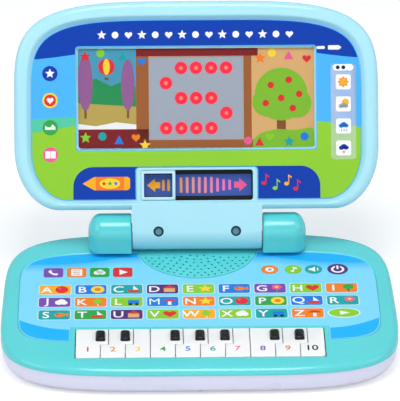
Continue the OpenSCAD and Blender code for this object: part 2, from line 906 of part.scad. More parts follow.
// An outline of half width a and half height b round a middle height: soft above, and below with a flat edge
// between two rounded corners of their own width and height.
function shield_outline(a, b, middle, power, corner, inset) = concat(
    [for (i = [0 : outline_n / 2]) let (t = 360 * i / outline_n)
        [(a - inset) * signed_pow(cos(t), 2 / power), middle + (b - inset) * signed_pow(sin(t), 2 / power)]],
    [for (side = [-1, 1], i = [0 : outline_n / 4]) let (t = (side < 0 ? 180 : 270) + 360 * i / outline_n)
        [side * (a - corner.x) + (corner.x - inset) * cos(t),
         middle - b + corner.y + (corner.y - inset) * sin(t)]]
);

function lid_ring(inset) = shield_outline(lid_a, lid_b, lid_mid, lid_high_p, lid_corner, inset);
function face_ring(inset) = shield_outline(face_a, face_b, face_mid, face_high_p, face_corner, inset);

lid_boss_xy = [[124, 38], [128, 98], [112, 152], [40, 168]];
lid_boss_r = 4;
lid_screw_z = lid_rear + 2.2;
lid_screw_len = 8.5;

module lid_boss_places() {
    for (x = [-1, 1], p = lid_boss_xy) translate([x * p.x, p.y, 0]) children();
}

hinge_screw_x = 30;
hinge_boss_r = 5;
hinge_head_z = 8;
hinge_head_r = 3.2;
hinge_hole_r = 4;
hinge_screw_len = 15;

module hinge_screw_places() {
    mirror_x() translate([hinge_screw_x, 0, 0]) children();
}

led_n = 5;
lens_ledge = 3;
lens_r = 2.5;
led_post_r = 3;
led_post_x = 44;
led_post_y = lens_h / 2 + led_post_r + part_gap;
led_board_w = 2 * led_post_x + 8;
led_board_h = 2 * led_post_y + 8;
led_board_top = plate_low - 6;

module led_post_places() {
    for (x = [-1, 1], y = [-1, 1]) translate([x * led_post_x, lens_mid + y * led_post_y, 0]) children();
}

module led_places() {
    for (i = [1 : led_n], j = [1 : led_n])
        translate([(i - (led_n + 1) / 2) * led_pitch, lens_mid + (j - (led_n + 1) / 2) * led_pitch, 0])
            children();
}

track_mid = track_low + track_h / 2;
track_frame_x = 3.5;
track_frame_y = 1.7;
track_frame_rise = 0.6;

// Solid of the barrel and of the neck between it and the lid, cut to the half in front of (1) or behind (-1)
// the plane through the axis
module barrel_half(side) {
    intersection() {
        union() {
            x_bar(-barrel_len / 2, barrel_len, barrel_r);
            translate([-neck_w / 2, 0, lid_rear]) cube([neck_w, neck_top, lid_t]);
        }
        translate([-neck_w, -2 * barrel_r, side > 0 ? 0 : -4 * barrel_r])
            cube([2 * neck_w, neck_top + 2 * barrel_r, 4 * barrel_r]);
    }
}

// Space inside the barrel and the neck
module barrel_space() {
    x_bar(-barrel_len / 2 + barrel_wall, barrel_len - 2 * barrel_wall, barrel_in_r);
    translate([-neck_w / 2 + barrel_wall, 0, lid_rear + wall])
        cube([neck_w - 2 * barrel_wall, neck_top + 4, lid_t - 2 * wall]);
    x_bar(-barrel_len, 2 * barrel_len, pin_r);
}

// Walls inside the barrel behind the flanges of the pins
module barrel_ribs() {
    mirror_x() translate([barrel_len / 2 - 1.5 * barrel_wall - pin_flange_t, 0, 0]) difference() {
        x_bar(0, barrel_wall / 2, barrel_in_r + 1);
        x_bar(-1, barrel_wall, cable_r + 1.5);
    }
}

module lid_bezel() {
    color(lid_blue)
    in_lid() difference() {
        union() {
            difference() {
                union() {
                    difference() {
                        loft([
                            flat_ring(lid_ring(0), 0),
                            for (a = round_steps)
                                flat_ring(lid_ring(edge_r * (1 - cos(a))), lid_front - edge_r * (1 - sin(a)))
                        ]);
                        loft([
                            flat_ring(face_ring(rim_slope), plate_top),
                            flat_ring(face_ring(rim_slope * 0.4), lid_front - 1),
                            flat_ring(face_ring(0), lid_front + through / 2)
                        ]);
                    }
                    barrel_half(1);
                    track_frame_block(0);
                }
                loft([
                    flat_ring(lid_ring(wall), -through),
                    flat_ring(lid_ring(wall), plate_low - 2),
                    flat_ring(lid_ring(wall + 2), plate_low)
                ]);
                barrel_space();
            }
            intersection() {
                barrel_half(1);
                union() {
                    barrel_ribs();
                    hinge_screw_places() cylinder(h = barrel_r, r = hinge_boss_r + 0.5, $fn = 32);
                }
            }
            lid_boss_places() cylinder(h = plate_low + 1, r = lid_boss_r, $fn = 32);
            led_post_places() translate([0, 0, led_board_top])
                cylinder(h = plate_low + 1 - led_board_top, r = led_post_r, $fn = 32);
        }
        translate([0, lens_mid, plate_low - through])
            plate(lens_w - 2 * lens_ledge, lens_h - 2 * lens_ledge, deck_t + 2 * through, lens_r);
        translate([0, lens_mid, label_top - lens_t])
            plate(lens_w + 2 * part_gap, lens_h + 2 * part_gap, lens_t + through, lens_r);
        translate([-track_w / 2, track_low, plate_low - through])
            cube([track_w, track_h, deck_t + label_t + face_drop + 2 * through]);
        hinge_screw_places() {
            translate([0, 0, hinge_head_z]) cylinder(h = barrel_r, r = hinge_hole_r, $fn = 32);
            translate([0, 0, -through]) cylinder(h = barrel_r, r = screw_hole_r, $fn = 32);
        }
        lid_boss_places() translate([0, 0, -through])
            cylinder(h = lid_screw_z + lid_screw_len + through + 0.5, r = screw_shank_r + fit_gap, $fn = 32);
        led_post_places() translate([0, 0, led_board_top - through])
            cylinder(h = through + led_screw_len, r = screw_shank_r + fit_gap, $fn = 32);
    }
}

// Raised frame round the swipe track, rising from the bezel's plate through the label
module track_frame_block(gap) {
    translate([0, track_mid, plate_top - through])
        plate(track_w + 2 * (track_frame_x + gap), track_h + 2 * (track_frame_y + gap),
              through + label_t + track_frame_rise, 1.5);
}

module lid_back() {
    color(lid_blue)
    in_lid() difference() {
        union() {
            difference() {
                union() {
                    loft([
                        for (a = round_steps)
                            flat_ring(lid_ring(edge_r * (1 - sin(a))), lid_rear + edge_r * (1 - cos(a))),
                        flat_ring(lid_ring(0), 0)
                    ]);
                    barrel_half(-1);
                }
                loft([
                    flat_ring(lid_ring(wall + edge_r / 2), lid_rear + wall),
                    flat_ring(lid_ring(wall), 0),
                    flat_ring(lid_ring(wall), through)
                ]);
                barrel_space();
            }
            intersection() {
                barrel_half(-1);
                union() {
                    barrel_ribs();
                    hinge_screw_places() translate([0, 0, -barrel_r])
                        cylinder(h = barrel_r, r = hinge_boss_r, $fn = 32);
                }
            }
            lid_boss_places() translate([0, 0, lid_rear + wall / 2])
                cylinder(h = -lid_rear - wall / 2, r = lid_boss_r, $fn = 32);
        }
        hinge_screw_places() translate([0, 0, hinge_head_z - hinge_screw_len - through / 2])
            cylinder(h = hinge_screw_len, r = screw_shank_r + fit_gap, $fn = 32);
        lid_boss_places() {
            translate([0, 0, lid_rear - through])
                cylinder(h = lid_screw_z - lid_rear + through, r = screw_head_r + part_gap, $fn = 32);
            translate([0, 0, lid_rear]) cylinder(h = -lid_rear + through, r = screw_hole_r, $fn = 32);
        }
    }
}

module lid_label() {
    color([0.10, 0.35, 0.72])
    in_lid() translate([0, 0, plate_top]) linear_extrude(label_t) difference() {
        polygon([for (p = face_ring(rim_slope + 0.3)) [p.x, p.y]]);
        translate([0, lens_mid]) round_rect(lens_w + 2 * part_gap, lens_h + 2 * part_gap, lens_r);
        translate([0, track_mid]) round_rect(track_w + 2 * (track_frame_x + fit_gap),
                                             track_h + 2 * (track_frame_y + fit_gap), 1.5);
    }
}

module screen_lens() {
    color([0.55, 0.82, 0.95])
    in_lid() translate([0, lens_mid, label_top - lens_t]) plate(lens_w, lens_h, lens_t, lens_r);
}

card_t = 0.5;
panel_w = 73.4;
panel_h = 64.4;
diffuser_t = 0.8;
diffuser_edge = 3;

module screen_card() {
    color([0.45, 0.75, 0.95])
    in_lid() translate([0, lens_mid, plate_low - card_t]) linear_extrude(card_t) difference() {
        square([lens_w, lens_h], center = true);
        square([panel_w, panel_h], center = true);
    }
}

module led_diffuser() {
    color([0.62, 0.62, 0.60])
    in_lid() translate([-panel_w / 2 - diffuser_edge, lens_mid - panel_h / 2 - diffuser_edge,
                        plate_low - card_t - diffuser_t])
        cube([panel_w + 2 * diffuser_edge, panel_h + 2 * diffuser_edge, diffuser_t]);
}

reflector_w = led_n * led_pitch + 6;

// A block with one round light well for each LED
module led_reflector() {
    reflector_top = plate_low - card_t - diffuser_t;
    color([0.93, 0.93, 0.93])
    in_lid() difference() {
        translate([-reflector_w / 2, lens_mid - reflector_w / 2, led_board_top])
            cube([reflector_w, reflector_w, reflector_top - led_board_top]);
        led_places() translate([0, 0, led_board_top - through])
            cylinder(h = reflector_top - led_board_top + 2 * through, r = led_cell_r, $fn = 32);
    }
}

led_screw_len = 4;

module led_board() {
    color(board_green)
    in_lid() difference() {
        translate([0, lens_mid, led_board_top - board_t]) plate(led_board_w, led_board_h, board_t, 2);
        led_post_places() translate([0, 0, led_board_top - board_t - through])
            cylinder(h = board_t + 2 * through, r = screw_hole_r, $fn = 32);
    }
}

module led_board_screws() {
    color(dark_steel)
    in_lid() led_post_places() translate([0, 0, led_board_top - board_t])
        screw(screw_head_r - 0.4, 1, screw_shank_r, board_t + led_screw_len - 1);
}

led_r = 1.5;
led_h = 2.2;

module leds() {
    color([0.95, 0.30, 0.30])
    in_lid() led_places() translate([0, 0, led_board_top]) {
        cylinder(h = led_h, r = led_r, $fn = 24);
        translate([0, 0, led_h]) sphere(r = led_r, $fn = 24);
        cylinder(h = 0.5, r = led_r + 0.4, $fn = 24);
    }
}

tray_edge = 3;
tray_depth = 3;
tray_floor_t = 1.2;
strip_t = 0.3;
swipe_gap = 0.15;
swipe_lip = 1.6;
swipe_lip_t = 1.6;
swipe_top = label_top + track_frame_rise + 0.4;
swipe_low = plate_low - tray_depth + strip_t + swipe_gap;
swipe_h = track_h - 2 * part_gap;
swipe_x = -track_w / 2 + swipe_gap;

module swipe_tray() {
    tray_in_h = swipe_h + 2 * (swipe_lip + part_gap);
    tray_in_w = track_w + 2 * swipe_gap;
    color([0.07, 0.07, 0.08])
    in_lid() translate([0, track_mid, plate_low - tray_depth - tray_floor_t]) difference() {
        plate(tray_in_w + 2 * tray_edge, tray_in_h + 2 * tray_edge, tray_depth + tray_floor_t, 1.5);
        translate([-tray_in_w / 2, -tray_in_h / 2, tray_floor_t])
            cube([tray_in_w, tray_in_h, tray_depth + through]);
    }
}

module swipe_strip() {
    color([0.20, 0.45, 0.75])
    in_lid() translate([-track_w / 2, track_low, plate_low - tray_depth]) cube([track_w, track_h, strip_t]);
}

// The sliding frame: open in the middle, with a lip above and below that runs under the bezel's plate
module swipe_frame() {
    color([0.60, 0.87, 0.93])
    in_lid() difference() {
        union() {
            translate([swipe_x, track_mid - swipe_h / 2, swipe_low])
                cube([swipe_w, swipe_h, swipe_top - swipe_low]);
            translate([swipe_x, track_mid - swipe_h / 2 - swipe_lip, swipe_low])
                cube([swipe_w, swipe_h + 2 * swipe_lip, swipe_lip_t]);
        }
        translate([swipe_x + swipe_border, track_mid - swipe_h / 2 + swipe_border, swipe_low - through])
            cube([swipe_w - 2 * swipe_border, swipe_h - 2 * swipe_border, lid_t]);
    }
}

swipe_lens_t = 1;

module swipe_lens() {
    color([0.75, 0.88, 0.92])
    in_lid()
    translate([swipe_x + swipe_border, track_mid - swipe_h / 2 + swipe_border, swipe_low + swipe_lip_t])
        cube([swipe_w - 2 * swipe_border, swipe_h - 2 * swipe_border, swipe_lens_t]);
}

// Hollow journals that turn in the lugs; their flanges are held between the halves of the barrel
module hinge_pins() {
    flange_x = barrel_len / 2 - barrel_wall - pin_flange_t;
    color([0.85, 0.85, 0.88])
    in_lid() mirror_x() difference() {
        union() {
            x_bar(flange_x, ring_end + 1 - flange_x, pin_r);
            x_bar(flange_x, pin_flange_t, flange_r);
        }
        x_bar(flange_x - 1, 2 * lug_len, cable_r + 1);
    }
}

module hinge_screws() {
    color(dark_steel)
    in_lid() hinge_screw_places() translate([0, 0, hinge_head_z]) mirror([0, 0, 1])
        screw(hinge_head_r, 1.8, screw_shank_r, hinge_screw_len);
}

module lid_screws() {
    color(dark_steel)
    in_lid() lid_boss_places() translate([0, 0, lid_screw_z])
        screw(screw_head_r, 1.6, screw_shank_r, lid_screw_len);
}

cable_turn_gap = 1.9;
lid_cable_turn_x = -(barrel_len / 2 - barrel_wall - pin_flange_t - cable_r - cable_turn_gap);
lid_cable_z = lid_rear + wall + cable_r + 0.2;

module lid_cable() {
    color([0.75, 0.20, 0.18])
    in_lid() cable([
        [-cable_meet_x, 0, 0],
        [lid_cable_turn_x, 0, 0],
        [lid_cable_turn_x, lid_low + 3, lid_cable_z],
        [lid_cable_turn_x, lens_mid - led_board_h / 2, lid_cable_z]
    ], cable_r);
}

// Moves the whole part so that the origin lies under the middle of its bounding box
lid_reach_back = hinge_y + lid_high * sin(lid_lean) - lid_rear * cos(lid_lean) - 1.5;
middle_y = (lid_reach_back - base_d / 2) / 2;

module stand() {
    translate([0, -middle_y, 0]) children();
}

stand() bottom_shell();
stand() top_casing();
stand() keypad_overlay();
stand() switch_membrane();
stand() main_board();
stand() board_components();
stand() board_screws();
stand() speaker_frame();
stand() speaker_cone();
stand() speaker_magnet();
stand() speaker_screws();
stand() battery_door();
stand() battery_door_screw();
stand() batteries();
stand() battery_springs();
stand() battery_plates();
stand() key_pivot_rod();
stand() key_board();
stand() key_board_screws();
stand() key_dome_strip();
stand() casing_screws();
stand() rubber_feet();
stand() friction_rings();
stand() base_cable();
stand() white_key(0);  // white_key_1
stand() white_key(1);  // white_key_2
stand() white_key(2);  // white_key_3
stand() white_key(3);  // white_key_4
stand() white_key(4);  // white_key_5
stand() white_key(5);  // white_key_6
stand() white_key(6);  // white_key_7
stand() white_key(7);  // white_key_8
stand() white_key(8);  // white_key_9
stand() white_key(9);  // white_key_10
stand() black_key(0);  // black_key_1
stand() black_key(1);  // black_key_2
stand() black_key(2);  // black_key_3
stand() black_key(3);  // black_key_4
stand() black_key(4);  // black_key_5
stand() black_key(5);  // black_key_6
stand() black_key(6);  // black_key_7
stand() lid_bezel();
stand() lid_back();
stand() lid_label();
stand() screen_lens();
stand() screen_card();
stand() led_diffuser();
stand() led_reflector();
stand() led_board();
stand() led_board_screws();
stand() leds();
stand() swipe_tray();
stand() swipe_strip();
stand() swipe_frame();
stand() swipe_lens();
stand() hinge_pins();
stand() hinge_screws();
stand() lid_screws();
stand() lid_cable();
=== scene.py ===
# A toy laptop, standing open: a wedge-shaped base with a printed keypad, a speaker and ten piano keys, and a
# lid with a dot display, a sliding window and a printed face.
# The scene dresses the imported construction. Lengths are in millimetres in the sizes below and become metres
# where a point is made. X runs to the user's right, Y away from the user and Z up.

import json
import math

import bmesh
import bpy
from mathutils import Matrix, Vector


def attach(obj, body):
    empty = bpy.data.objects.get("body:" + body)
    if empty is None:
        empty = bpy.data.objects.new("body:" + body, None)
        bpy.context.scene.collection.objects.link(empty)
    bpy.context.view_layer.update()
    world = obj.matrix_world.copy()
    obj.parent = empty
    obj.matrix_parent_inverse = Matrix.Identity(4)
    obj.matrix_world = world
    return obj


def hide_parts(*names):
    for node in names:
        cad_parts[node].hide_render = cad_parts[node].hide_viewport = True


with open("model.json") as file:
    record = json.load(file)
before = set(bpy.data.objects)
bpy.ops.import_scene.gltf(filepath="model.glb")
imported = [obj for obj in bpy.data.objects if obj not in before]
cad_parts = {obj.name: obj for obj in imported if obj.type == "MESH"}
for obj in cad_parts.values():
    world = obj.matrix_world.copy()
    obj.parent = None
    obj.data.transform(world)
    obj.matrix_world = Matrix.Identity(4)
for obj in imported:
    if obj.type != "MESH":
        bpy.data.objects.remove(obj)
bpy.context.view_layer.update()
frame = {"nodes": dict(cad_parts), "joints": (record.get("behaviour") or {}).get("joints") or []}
MM = 0.001


# Camera and room. A long lens looks down on the open toy from the user's side, on a plain white floor, with
# soft lamps on every side and a pale sky.
hinge = Vector(next(j for j in frame["joints"] if j["name"] == "lid_hinge")["pos_m"])
camera_height = math.radians(25.4)
camera_turn = math.radians(-1.0)
camera_distance = 2.77
sensor_width = 36.0
focal_length = 319.5
aim_right = 2.3 * MM
aim_up = 23.8 * MM

toward_camera = Vector((
    math.sin(camera_turn) * math.cos(camera_height),
    -math.cos(camera_turn) * math.cos(camera_height),
    math.sin(camera_height),
))
camera_right = Vector((math.cos(camera_turn), math.sin(camera_turn), 0))
camera_up = toward_camera.cross(camera_right)
aim = hinge + aim_right * camera_right + aim_up * camera_up

camera_data = bpy.data.cameras.new("camera")
camera_data.sensor_width = sensor_width
camera_data.lens = focal_length
camera = bpy.data.objects.new("camera", camera_data)
bpy.context.scene.collection.objects.link(camera)
camera.location = aim + toward_camera * camera_distance
camera.rotation_euler = toward_camera.to_track_quat("Z", "Y").to_euler()
bpy.context.scene.camera = camera
bpy.context.scene.view_settings.view_transform = "Standard"

lamp_aim = Vector((0, 0, 0.08))
sky_colour = (0.93, 0.96, 1.0, 1)
sky_strength = 0.5
floor_size = 12
floor_shade = (0.86, 0.86, 0.86, 1)
floor_shine = 0.36


def lamp(name, place, size, watts):
    """A square soft lamp that points at the toy."""
    data = bpy.data.lights.new(name, "AREA")
    data.size = size
    data.energy = watts
    light = bpy.data.objects.new(name, data)
    bpy.context.scene.collection.objects.link(light)
    light.location = place
    light.rotation_euler = (Vector(place) - lamp_aim).to_track_quat("Z", "Y").to_euler()


lamp("left_lamp", (-1.3, -0.7, 1.2), 1.1, 7)
lamp("right_lamp", (1.4, -0.6, 1.1), 1.1, 5)
lamp("upper_lamp", (0, -0.3, 1.05), 0.42, 4.2)
lamp("low_lamp", (0, -1.9, 0.75), 1.0, 2.9)

world = bpy.data.worlds.new("pale_sky")
bpy.context.scene.world = world
world.use_nodes = True
world.node_tree.nodes["Background"].inputs["Color"].default_value = sky_colour
world.node_tree.nodes["Background"].inputs["Strength"].default_value = sky_strength

floor_material = bpy.data.materials.new("white_floor")
floor_material.use_nodes = True
floor_nodes = floor_material.node_tree.nodes
floor_links = floor_material.node_tree.links
floor_shader = floor_nodes["Principled BSDF"]
floor_shader.inputs["Base Color"].default_value = floor_shade
floor_shader.inputs["Roughness"].default_value = 0.9
floor_shader.inputs["Emission Color"].default_value = (1, 1, 1, 1)
seen_directly = floor_nodes.new("ShaderNodeLightPath")
floor_glow = floor_nodes.new("ShaderNodeMath")
floor_glow.operation = "MULTIPLY"
floor_glow.inputs[1].default_value = floor_shine
floor_links.new(seen_directly.outputs["Is Camera Ray"], floor_glow.inputs[0])
floor_links.new(floor_glow.outputs[0], floor_shader.inputs["Emission Strength"])

bpy.ops.object.select_all(action="DESELECT")
bpy.ops.mesh.primitive_plane_add(size=floor_size, location=(0, 0, 0))
floor = bpy.context.object
floor.name = "floor"
floor.data.materials.append(floor_material)


# Top casing. One moulding in teal ABS: the sloping deck with its rounded edge, a shallow seat for the printed
# film, the open well of the piano keys, the half-round speaker grille and two upright hinge lugs.
base_width = 299
base_depth = 202
base_far_power = 4.7
base_near_power = 4.3
base_taper = 0.0135
deck_slope = math.radians(4)
deck_drop = 14.5
deck_front_height = 23
seam_height = 17.5
casing_wall = 2.5
deck_thickness = 3
edge_radius = 5
edge_turns = [math.radians(a) for a in range(0, 91, 10)]
front_reach = 9
front_zone = 45
outline_points = 192
hinge_back = 24
base_front = hinge.y / MM + hinge_back - base_depth
base_middle = base_front + base_depth / 2
film_front = 138.5
film_back = 7
film_margin = 12.7
film_far_power = 5.5
film_near_power = 7.5
film_depth = 1.5
key_back = 122
key_length = 40
key_pitch = 18.6
key_count = 10
keys_width = key_pitch * key_count
key_frame = 4
key_frame_back = 3.5
well_gap = 0.7
well_side = 0.45
well_depth = 9
barrel_length = 100.8
lug_inner = barrel_length / 2 + 0.6
lug_length = 33.6
lug_radius = 14.4
lug_end = lug_inner + lug_length
lug_ball = lug_end - lug_radius
lug_cap = 9.5
lug_inner_edge = 1.3
journal_radius = 7.05
journal_depth = 4
grille_radius = 46.5
grille_arcs = (14, 19, 24, 29, 34, 39, 43)
grille_step = 5.4
grille_hole_radius = 1.0
grille_clear = 11.5


def soft_outline(half_width, half_depth, far_power, near_power, inset=0.0, taper=0.0):
    """Points of a rounded oblong: the powers say how square its far and near corners are."""
    points = []
    for step in range(outline_points):
        turn = 2 * math.pi * step / outline_points
        power = far_power if math.sin(turn) > 0 else near_power
        y = (half_depth - inset) * math.copysign(abs(math.sin(turn)) ** (2 / power), math.sin(turn))
        x = (half_width - inset) * math.copysign(abs(math.cos(turn)) ** (2 / power), math.cos(turn))
        points.append((x * (1 - taper * y / half_depth), y))
    return points


def base_outline(inset):
    return [(x, y + base_middle) for x, y in
            soft_outline(base_width / 2, base_depth / 2, base_far_power, base_near_power, inset, base_taper)]


def deck_height(y):
    return deck_front_height + (y - base_front) * math.tan(deck_slope)


def put_selected_face(piece, ring):
    """Moves the corners of the one selected face to the ring's points, given in millimetres."""
    mesh = bmesh.from_edit_mesh(piece.data)
    face = next(f for f in mesh.faces if f.select)
    for corner, point in zip(face.verts, ring):
        corner.co = Vector(point) * MM
    bmesh.update_edit_mesh(piece.data)


def body_through(name, rings):
    """Extrudes an outline ring by ring into a closed body. Every ring has as many points."""
    bpy.ops.object.select_all(action="DESELECT")
    bpy.ops.mesh.primitive_circle_add(vertices=len(rings[0]), radius=1, fill_type="NGON")
    piece = bpy.context.object
    piece.name = name
    bpy.ops.object.mode_set(mode="EDIT")
    bpy.ops.mesh.select_all(action="SELECT")
    put_selected_face(piece, rings[0])
    for ring in rings[1:]:
        bpy.ops.mesh.extrude_region_move()
        put_selected_face(piece, ring)
    bpy.ops.mesh.select_all(action="SELECT")
    bpy.ops.mesh.normals_make_consistent(inside=False)
    bpy.ops.object.mode_set(mode="OBJECT")
    return piece


def level(points, height):
    return [(x, y, height) for x, y in points]


def stack(name, outline, steps):
    """A closed body through one outline, at pairs of an inset and a height."""
    return body_through(name, [level(outline(inset), height) for inset, height in steps])


def combine(piece, other, operation):
    """Shapes a piece by another body, which is used up."""
    modifier = piece.modifiers.new("with_" + other.name, "BOOLEAN")
    modifier.operation = operation
    modifier.solver = "EXACT"
    modifier.object = other
    bpy.ops.object.select_all(action="DESELECT")
    bpy.context.view_layer.objects.active = piece
    bpy.ops.object.modifier_apply(modifier=modifier.name)
    bpy.data.objects.remove(other)


def cut(piece, other):
    combine(piece, other, "DIFFERENCE")


def fuse(piece, other):
    combine(piece, other, "UNION")


def keep_inside(piece, other):
    combine(piece, other, "INTERSECT")


def place_in(piece, matrix):
    """Carries a piece modelled on the deck or on the lid to its place."""
    piece.data.transform(matrix)
    piece.data.update()
    return piece


on_deck = (Matrix.Translation(hinge) @ Matrix.Rotation(deck_slope, 4, "X")
           @ Matrix.Translation((0, 0, -deck_drop * MM)))


def box_body(name, low, high):
    """A plain box between two corners, given in millimetres."""
    bpy.ops.object.select_all(action="DESELECT")
    bpy.ops.mesh.primitive_cube_add(size=1)
    piece = bpy.context.object
    piece.name = name
    low, high = Vector(low) * MM, Vector(high) * MM
    for corner in piece.data.vertices:
        corner.co = [low[k] if corner.co[k] < 0 else high[k] for k in range(3)]
    return piece


def film_outline(inset):
    return [(x, y - (film_front + film_back) / 2) for x, y in
            soft_outline(base_width / 2 - film_margin, (film_front - film_back) / 2, film_far_power,
                         film_near_power, inset)]


def cylinder_body(name, radius, start, end, corners=48):
    """A round bar between two points, given in millimetres."""
    start, end = Vector(start) * MM, Vector(end) * MM
    bpy.ops.object.select_all(action="DESELECT")
    bpy.ops.mesh.primitive_cylinder_add(vertices=corners, radius=radius * MM, depth=(end - start).length)
    piece = bpy.context.object
    piece.name = name
    piece.data.transform(Matrix.Translation((start + end) / 2)
                         @ (end - start).to_track_quat("Z", "Y").to_matrix().to_4x4())
    return piece


def casing_edge(turn):
    """One ring of the deck's rounded edge, which is wider along the front than elsewhere."""
    ring = []
    for outer, inner in zip(base_outline(0), base_outline(front_reach)):
        nearness = min(1, max(0, 1 - (outer[1] - base_front) / front_zone))
        reach = edge_radius + (front_reach - edge_radius) * nearness
        share = reach * (1 - math.cos(turn)) / front_reach
        x, y = (a + share * (b - a) for a, b in zip(outer, inner))
        ring.append((x, y, deck_height(y) - edge_radius * (1 - math.sin(turn))))
    return ring


casing = body_through("deck_casing", [level(base_outline(0), seam_height)] + [casing_edge(a) for a in edge_turns])


def near(value, goal, within=0.001):
    return abs(value - goal) < within


def round_edges(piece, wanted, width, segments):
    """In edit mode, bevels the edges whose two ends, in millimetres, are wanted."""
    bpy.ops.mesh.select_all(action="DESELECT")
    mesh = bmesh.from_edit_mesh(piece.data)
    for edge in mesh.edges:
        edge.select = wanted(*[corner.co / MM for corner in edge.verts])
    bmesh.update_edit_mesh(piece.data)
    bpy.ops.mesh.bevel(offset=width * MM, segments=segments, affect="EDGES")


def lug_body(side):
    """One lug: a block whose top and outer end are bevelled to its half width, its end cap pressed flatter."""
    low = (lug_inner if side > 0 else -lug_end, -lug_radius, -deck_thickness + 0.05)
    high = (lug_end if side > 0 else -lug_inner, lug_radius, deck_drop + lug_radius)

    def top_or_outer(a, b):
        top = near(a.z, high[2]) and near(b.z, high[2])
        inner = near(a.x, side * lug_inner) and near(b.x, side * lug_inner)
        outer = near(a.x, side * lug_end) and near(b.x, side * lug_end)
        return (top and not inner) or (outer and not near(a.z, b.z, 0.1))

    def inner_rim(a, b):
        return all(near(abs(end.x), lug_inner) and end.z > 1 for end in (a, b))

    lug = box_body("lug", low, high)
    bpy.ops.object.mode_set(mode="EDIT")
    round_edges(lug, top_or_outer, lug_radius - 0.05, 14)
    bpy.ops.mesh.select_all(action="SELECT")
    bpy.ops.mesh.remove_doubles(threshold=0.02 * MM)
    mesh = bmesh.from_edit_mesh(lug.data)
    for point in mesh.verts:
        out = abs(point.co.x) / MM - lug_ball
        if out > 0:
            point.co.x = math.copysign(lug_end - lug_cap * (1 - out / lug_radius), point.co.x) * MM
    bmesh.update_edit_mesh(lug.data)
    round_edges(lug, inner_rim, lug_inner_edge, 3)
    bpy.ops.object.mode_set(mode="OBJECT")
    return place_in(lug, on_deck)


for side in (-1, 1):
    fuse(casing, lug_body(side))
cavity = body_through("cavity", [
    level(base_outline(casing_wall), seam_height - 1),
    [(x, y, deck_height(y) - deck_thickness - 3) for x, y in base_outline(casing_wall)],
    [(x, y, deck_height(y) - deck_thickness) for x, y in base_outline(casing_wall + 3)],
])
cut(casing, cavity)

film_lip = ((0, -film_depth), (0, -0.9), (-0.25, -0.45), (-0.7, -0.16), (-1.4, 0), (-1.6, 3))
film_cut = place_in(stack("film_cut", film_outline, film_lip), on_deck)
grille_island = place_in(cylinder_body("grille_island", grille_radius, (0, 0, -deck_thickness), (0, 0, 4), 128),
                         on_deck)
cut(film_cut, grille_island)
keys_island = place_in(box_body("keys_island", (-keys_width / 2 - key_frame, -key_back - key_length - 20, -4),
                                (keys_width / 2 + key_frame, -key_back + key_frame_back, 4)), on_deck)
cut(film_cut, keys_island)
cut(casing, film_cut)
key_well = place_in(box_body("key_well",
                             (-keys_width / 2 - well_side, -key_back - key_length - well_gap, -well_depth),
                             (keys_width / 2 + well_side, -key_back + 0.2, 4)), on_deck)
cut(casing, key_well)

hole_cutters = []
for arc in grille_arcs:
    count = math.floor(math.pi * arc / grille_step)
    for step in range(count + 1):
        turn = math.pi * (1 + step / count)
        x, y = arc * math.cos(turn), arc * math.sin(turn)
        if -y > grille_clear:
            hole_cutters.append(cylinder_body("hole", grille_hole_radius, (x, y, -4), (x, y, 2), 12))
bpy.ops.object.select_all(action="DESELECT")
for cutter in hole_cutters:
    cutter.select_set(True)
bpy.context.view_layer.objects.active = hole_cutters[0]
bpy.ops.object.join()
cut(casing, place_in(hole_cutters[0], on_deck))

for side in (-1, 1):
    bore = cylinder_body("bore", journal_radius, (side * (lug_inner - 1), 0, deck_drop),
                         (side * (lug_inner + journal_depth), 0, deck_drop))
    cut(casing, place_in(bore, on_deck))


def smooth_by_angle(piece, degrees=32):
    """Shades round faces smooth and keeps edges sharper than the angle."""
    bpy.ops.object.select_all(action="DESELECT")
    piece.select_set(True)
    bpy.context.view_layer.objects.active = piece
    bpy.ops.object.shade_smooth_by_angle(angle=math.radians(degrees))


smooth_by_angle(casing)


def moulded_plastic(name, colour, roughness=0.32, grain=0.012):
    """Coloured ABS: a slow drift of shade from the flow of the melt, a faint orange peel and a soft gloss."""
    material = bpy.data.materials.new(name)
    material.use_nodes = True
    nodes, links = material.node_tree.nodes, material.node_tree.links
    shader = nodes["Principled BSDF"]
    place = nodes.new("ShaderNodeTexCoord")
    flow = nodes.new("ShaderNodeTexNoise")
    flow.inputs["Scale"].default_value = 14
    flow.inputs["Detail"].default_value = 3
    shade = nodes.new("ShaderNodeMix")
    shade.data_type = "RGBA"
    shade.inputs["A"].default_value = (*[c * 0.95 for c in colour], 1)
    shade.inputs["B"].default_value = (*[min(1, c * 1.04) for c in colour], 1)
    peel = nodes.new("ShaderNodeTexNoise")
    peel.inputs["Scale"].default_value = 900
    peel.inputs["Detail"].default_value = 2
    rough = nodes.new("ShaderNodeMapRange")
    rough.inputs["To Min"].default_value = roughness - 0.05
    rough.inputs["To Max"].default_value = roughness + 0.07
    bump = nodes.new("ShaderNodeBump")
    bump.inputs["Strength"].default_value = 0.25
    bump.inputs["Distance"].default_value = grain * MM
    links.new(place.outputs["Object"], flow.inputs["Vector"])
    links.new(place.outputs["Object"], peel.inputs["Vector"])
    links.new(flow.outputs["Fac"], shade.inputs["Factor"])
    links.new(shade.outputs["Result"], shader.inputs["Base Color"])
    links.new(flow.outputs["Fac"], rough.inputs["Value"])
    links.new(rough.outputs["Result"], shader.inputs["Roughness"])
    links.new(peel.outputs["Fac"], bump.inputs["Height"])
    links.new(bump.outputs["Normal"], shader.inputs["Normal"])
    shader.inputs["IOR"].default_value = 1.53
    return material


def srgb(red, green, blue):
    """A colour given as it looks on a screen, 0 to 255, as linear light."""
    return tuple((c / 255 / 12.92) if c <= 10 else ((c / 255 + 0.055) / 1.055) ** 2.4 for c in (red, green, blue))


teal = moulded_plastic("teal_abs", srgb(92, 214, 217), 0.2)
casing.data.materials.append(teal)
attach(casing, "base")
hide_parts("top_casing")


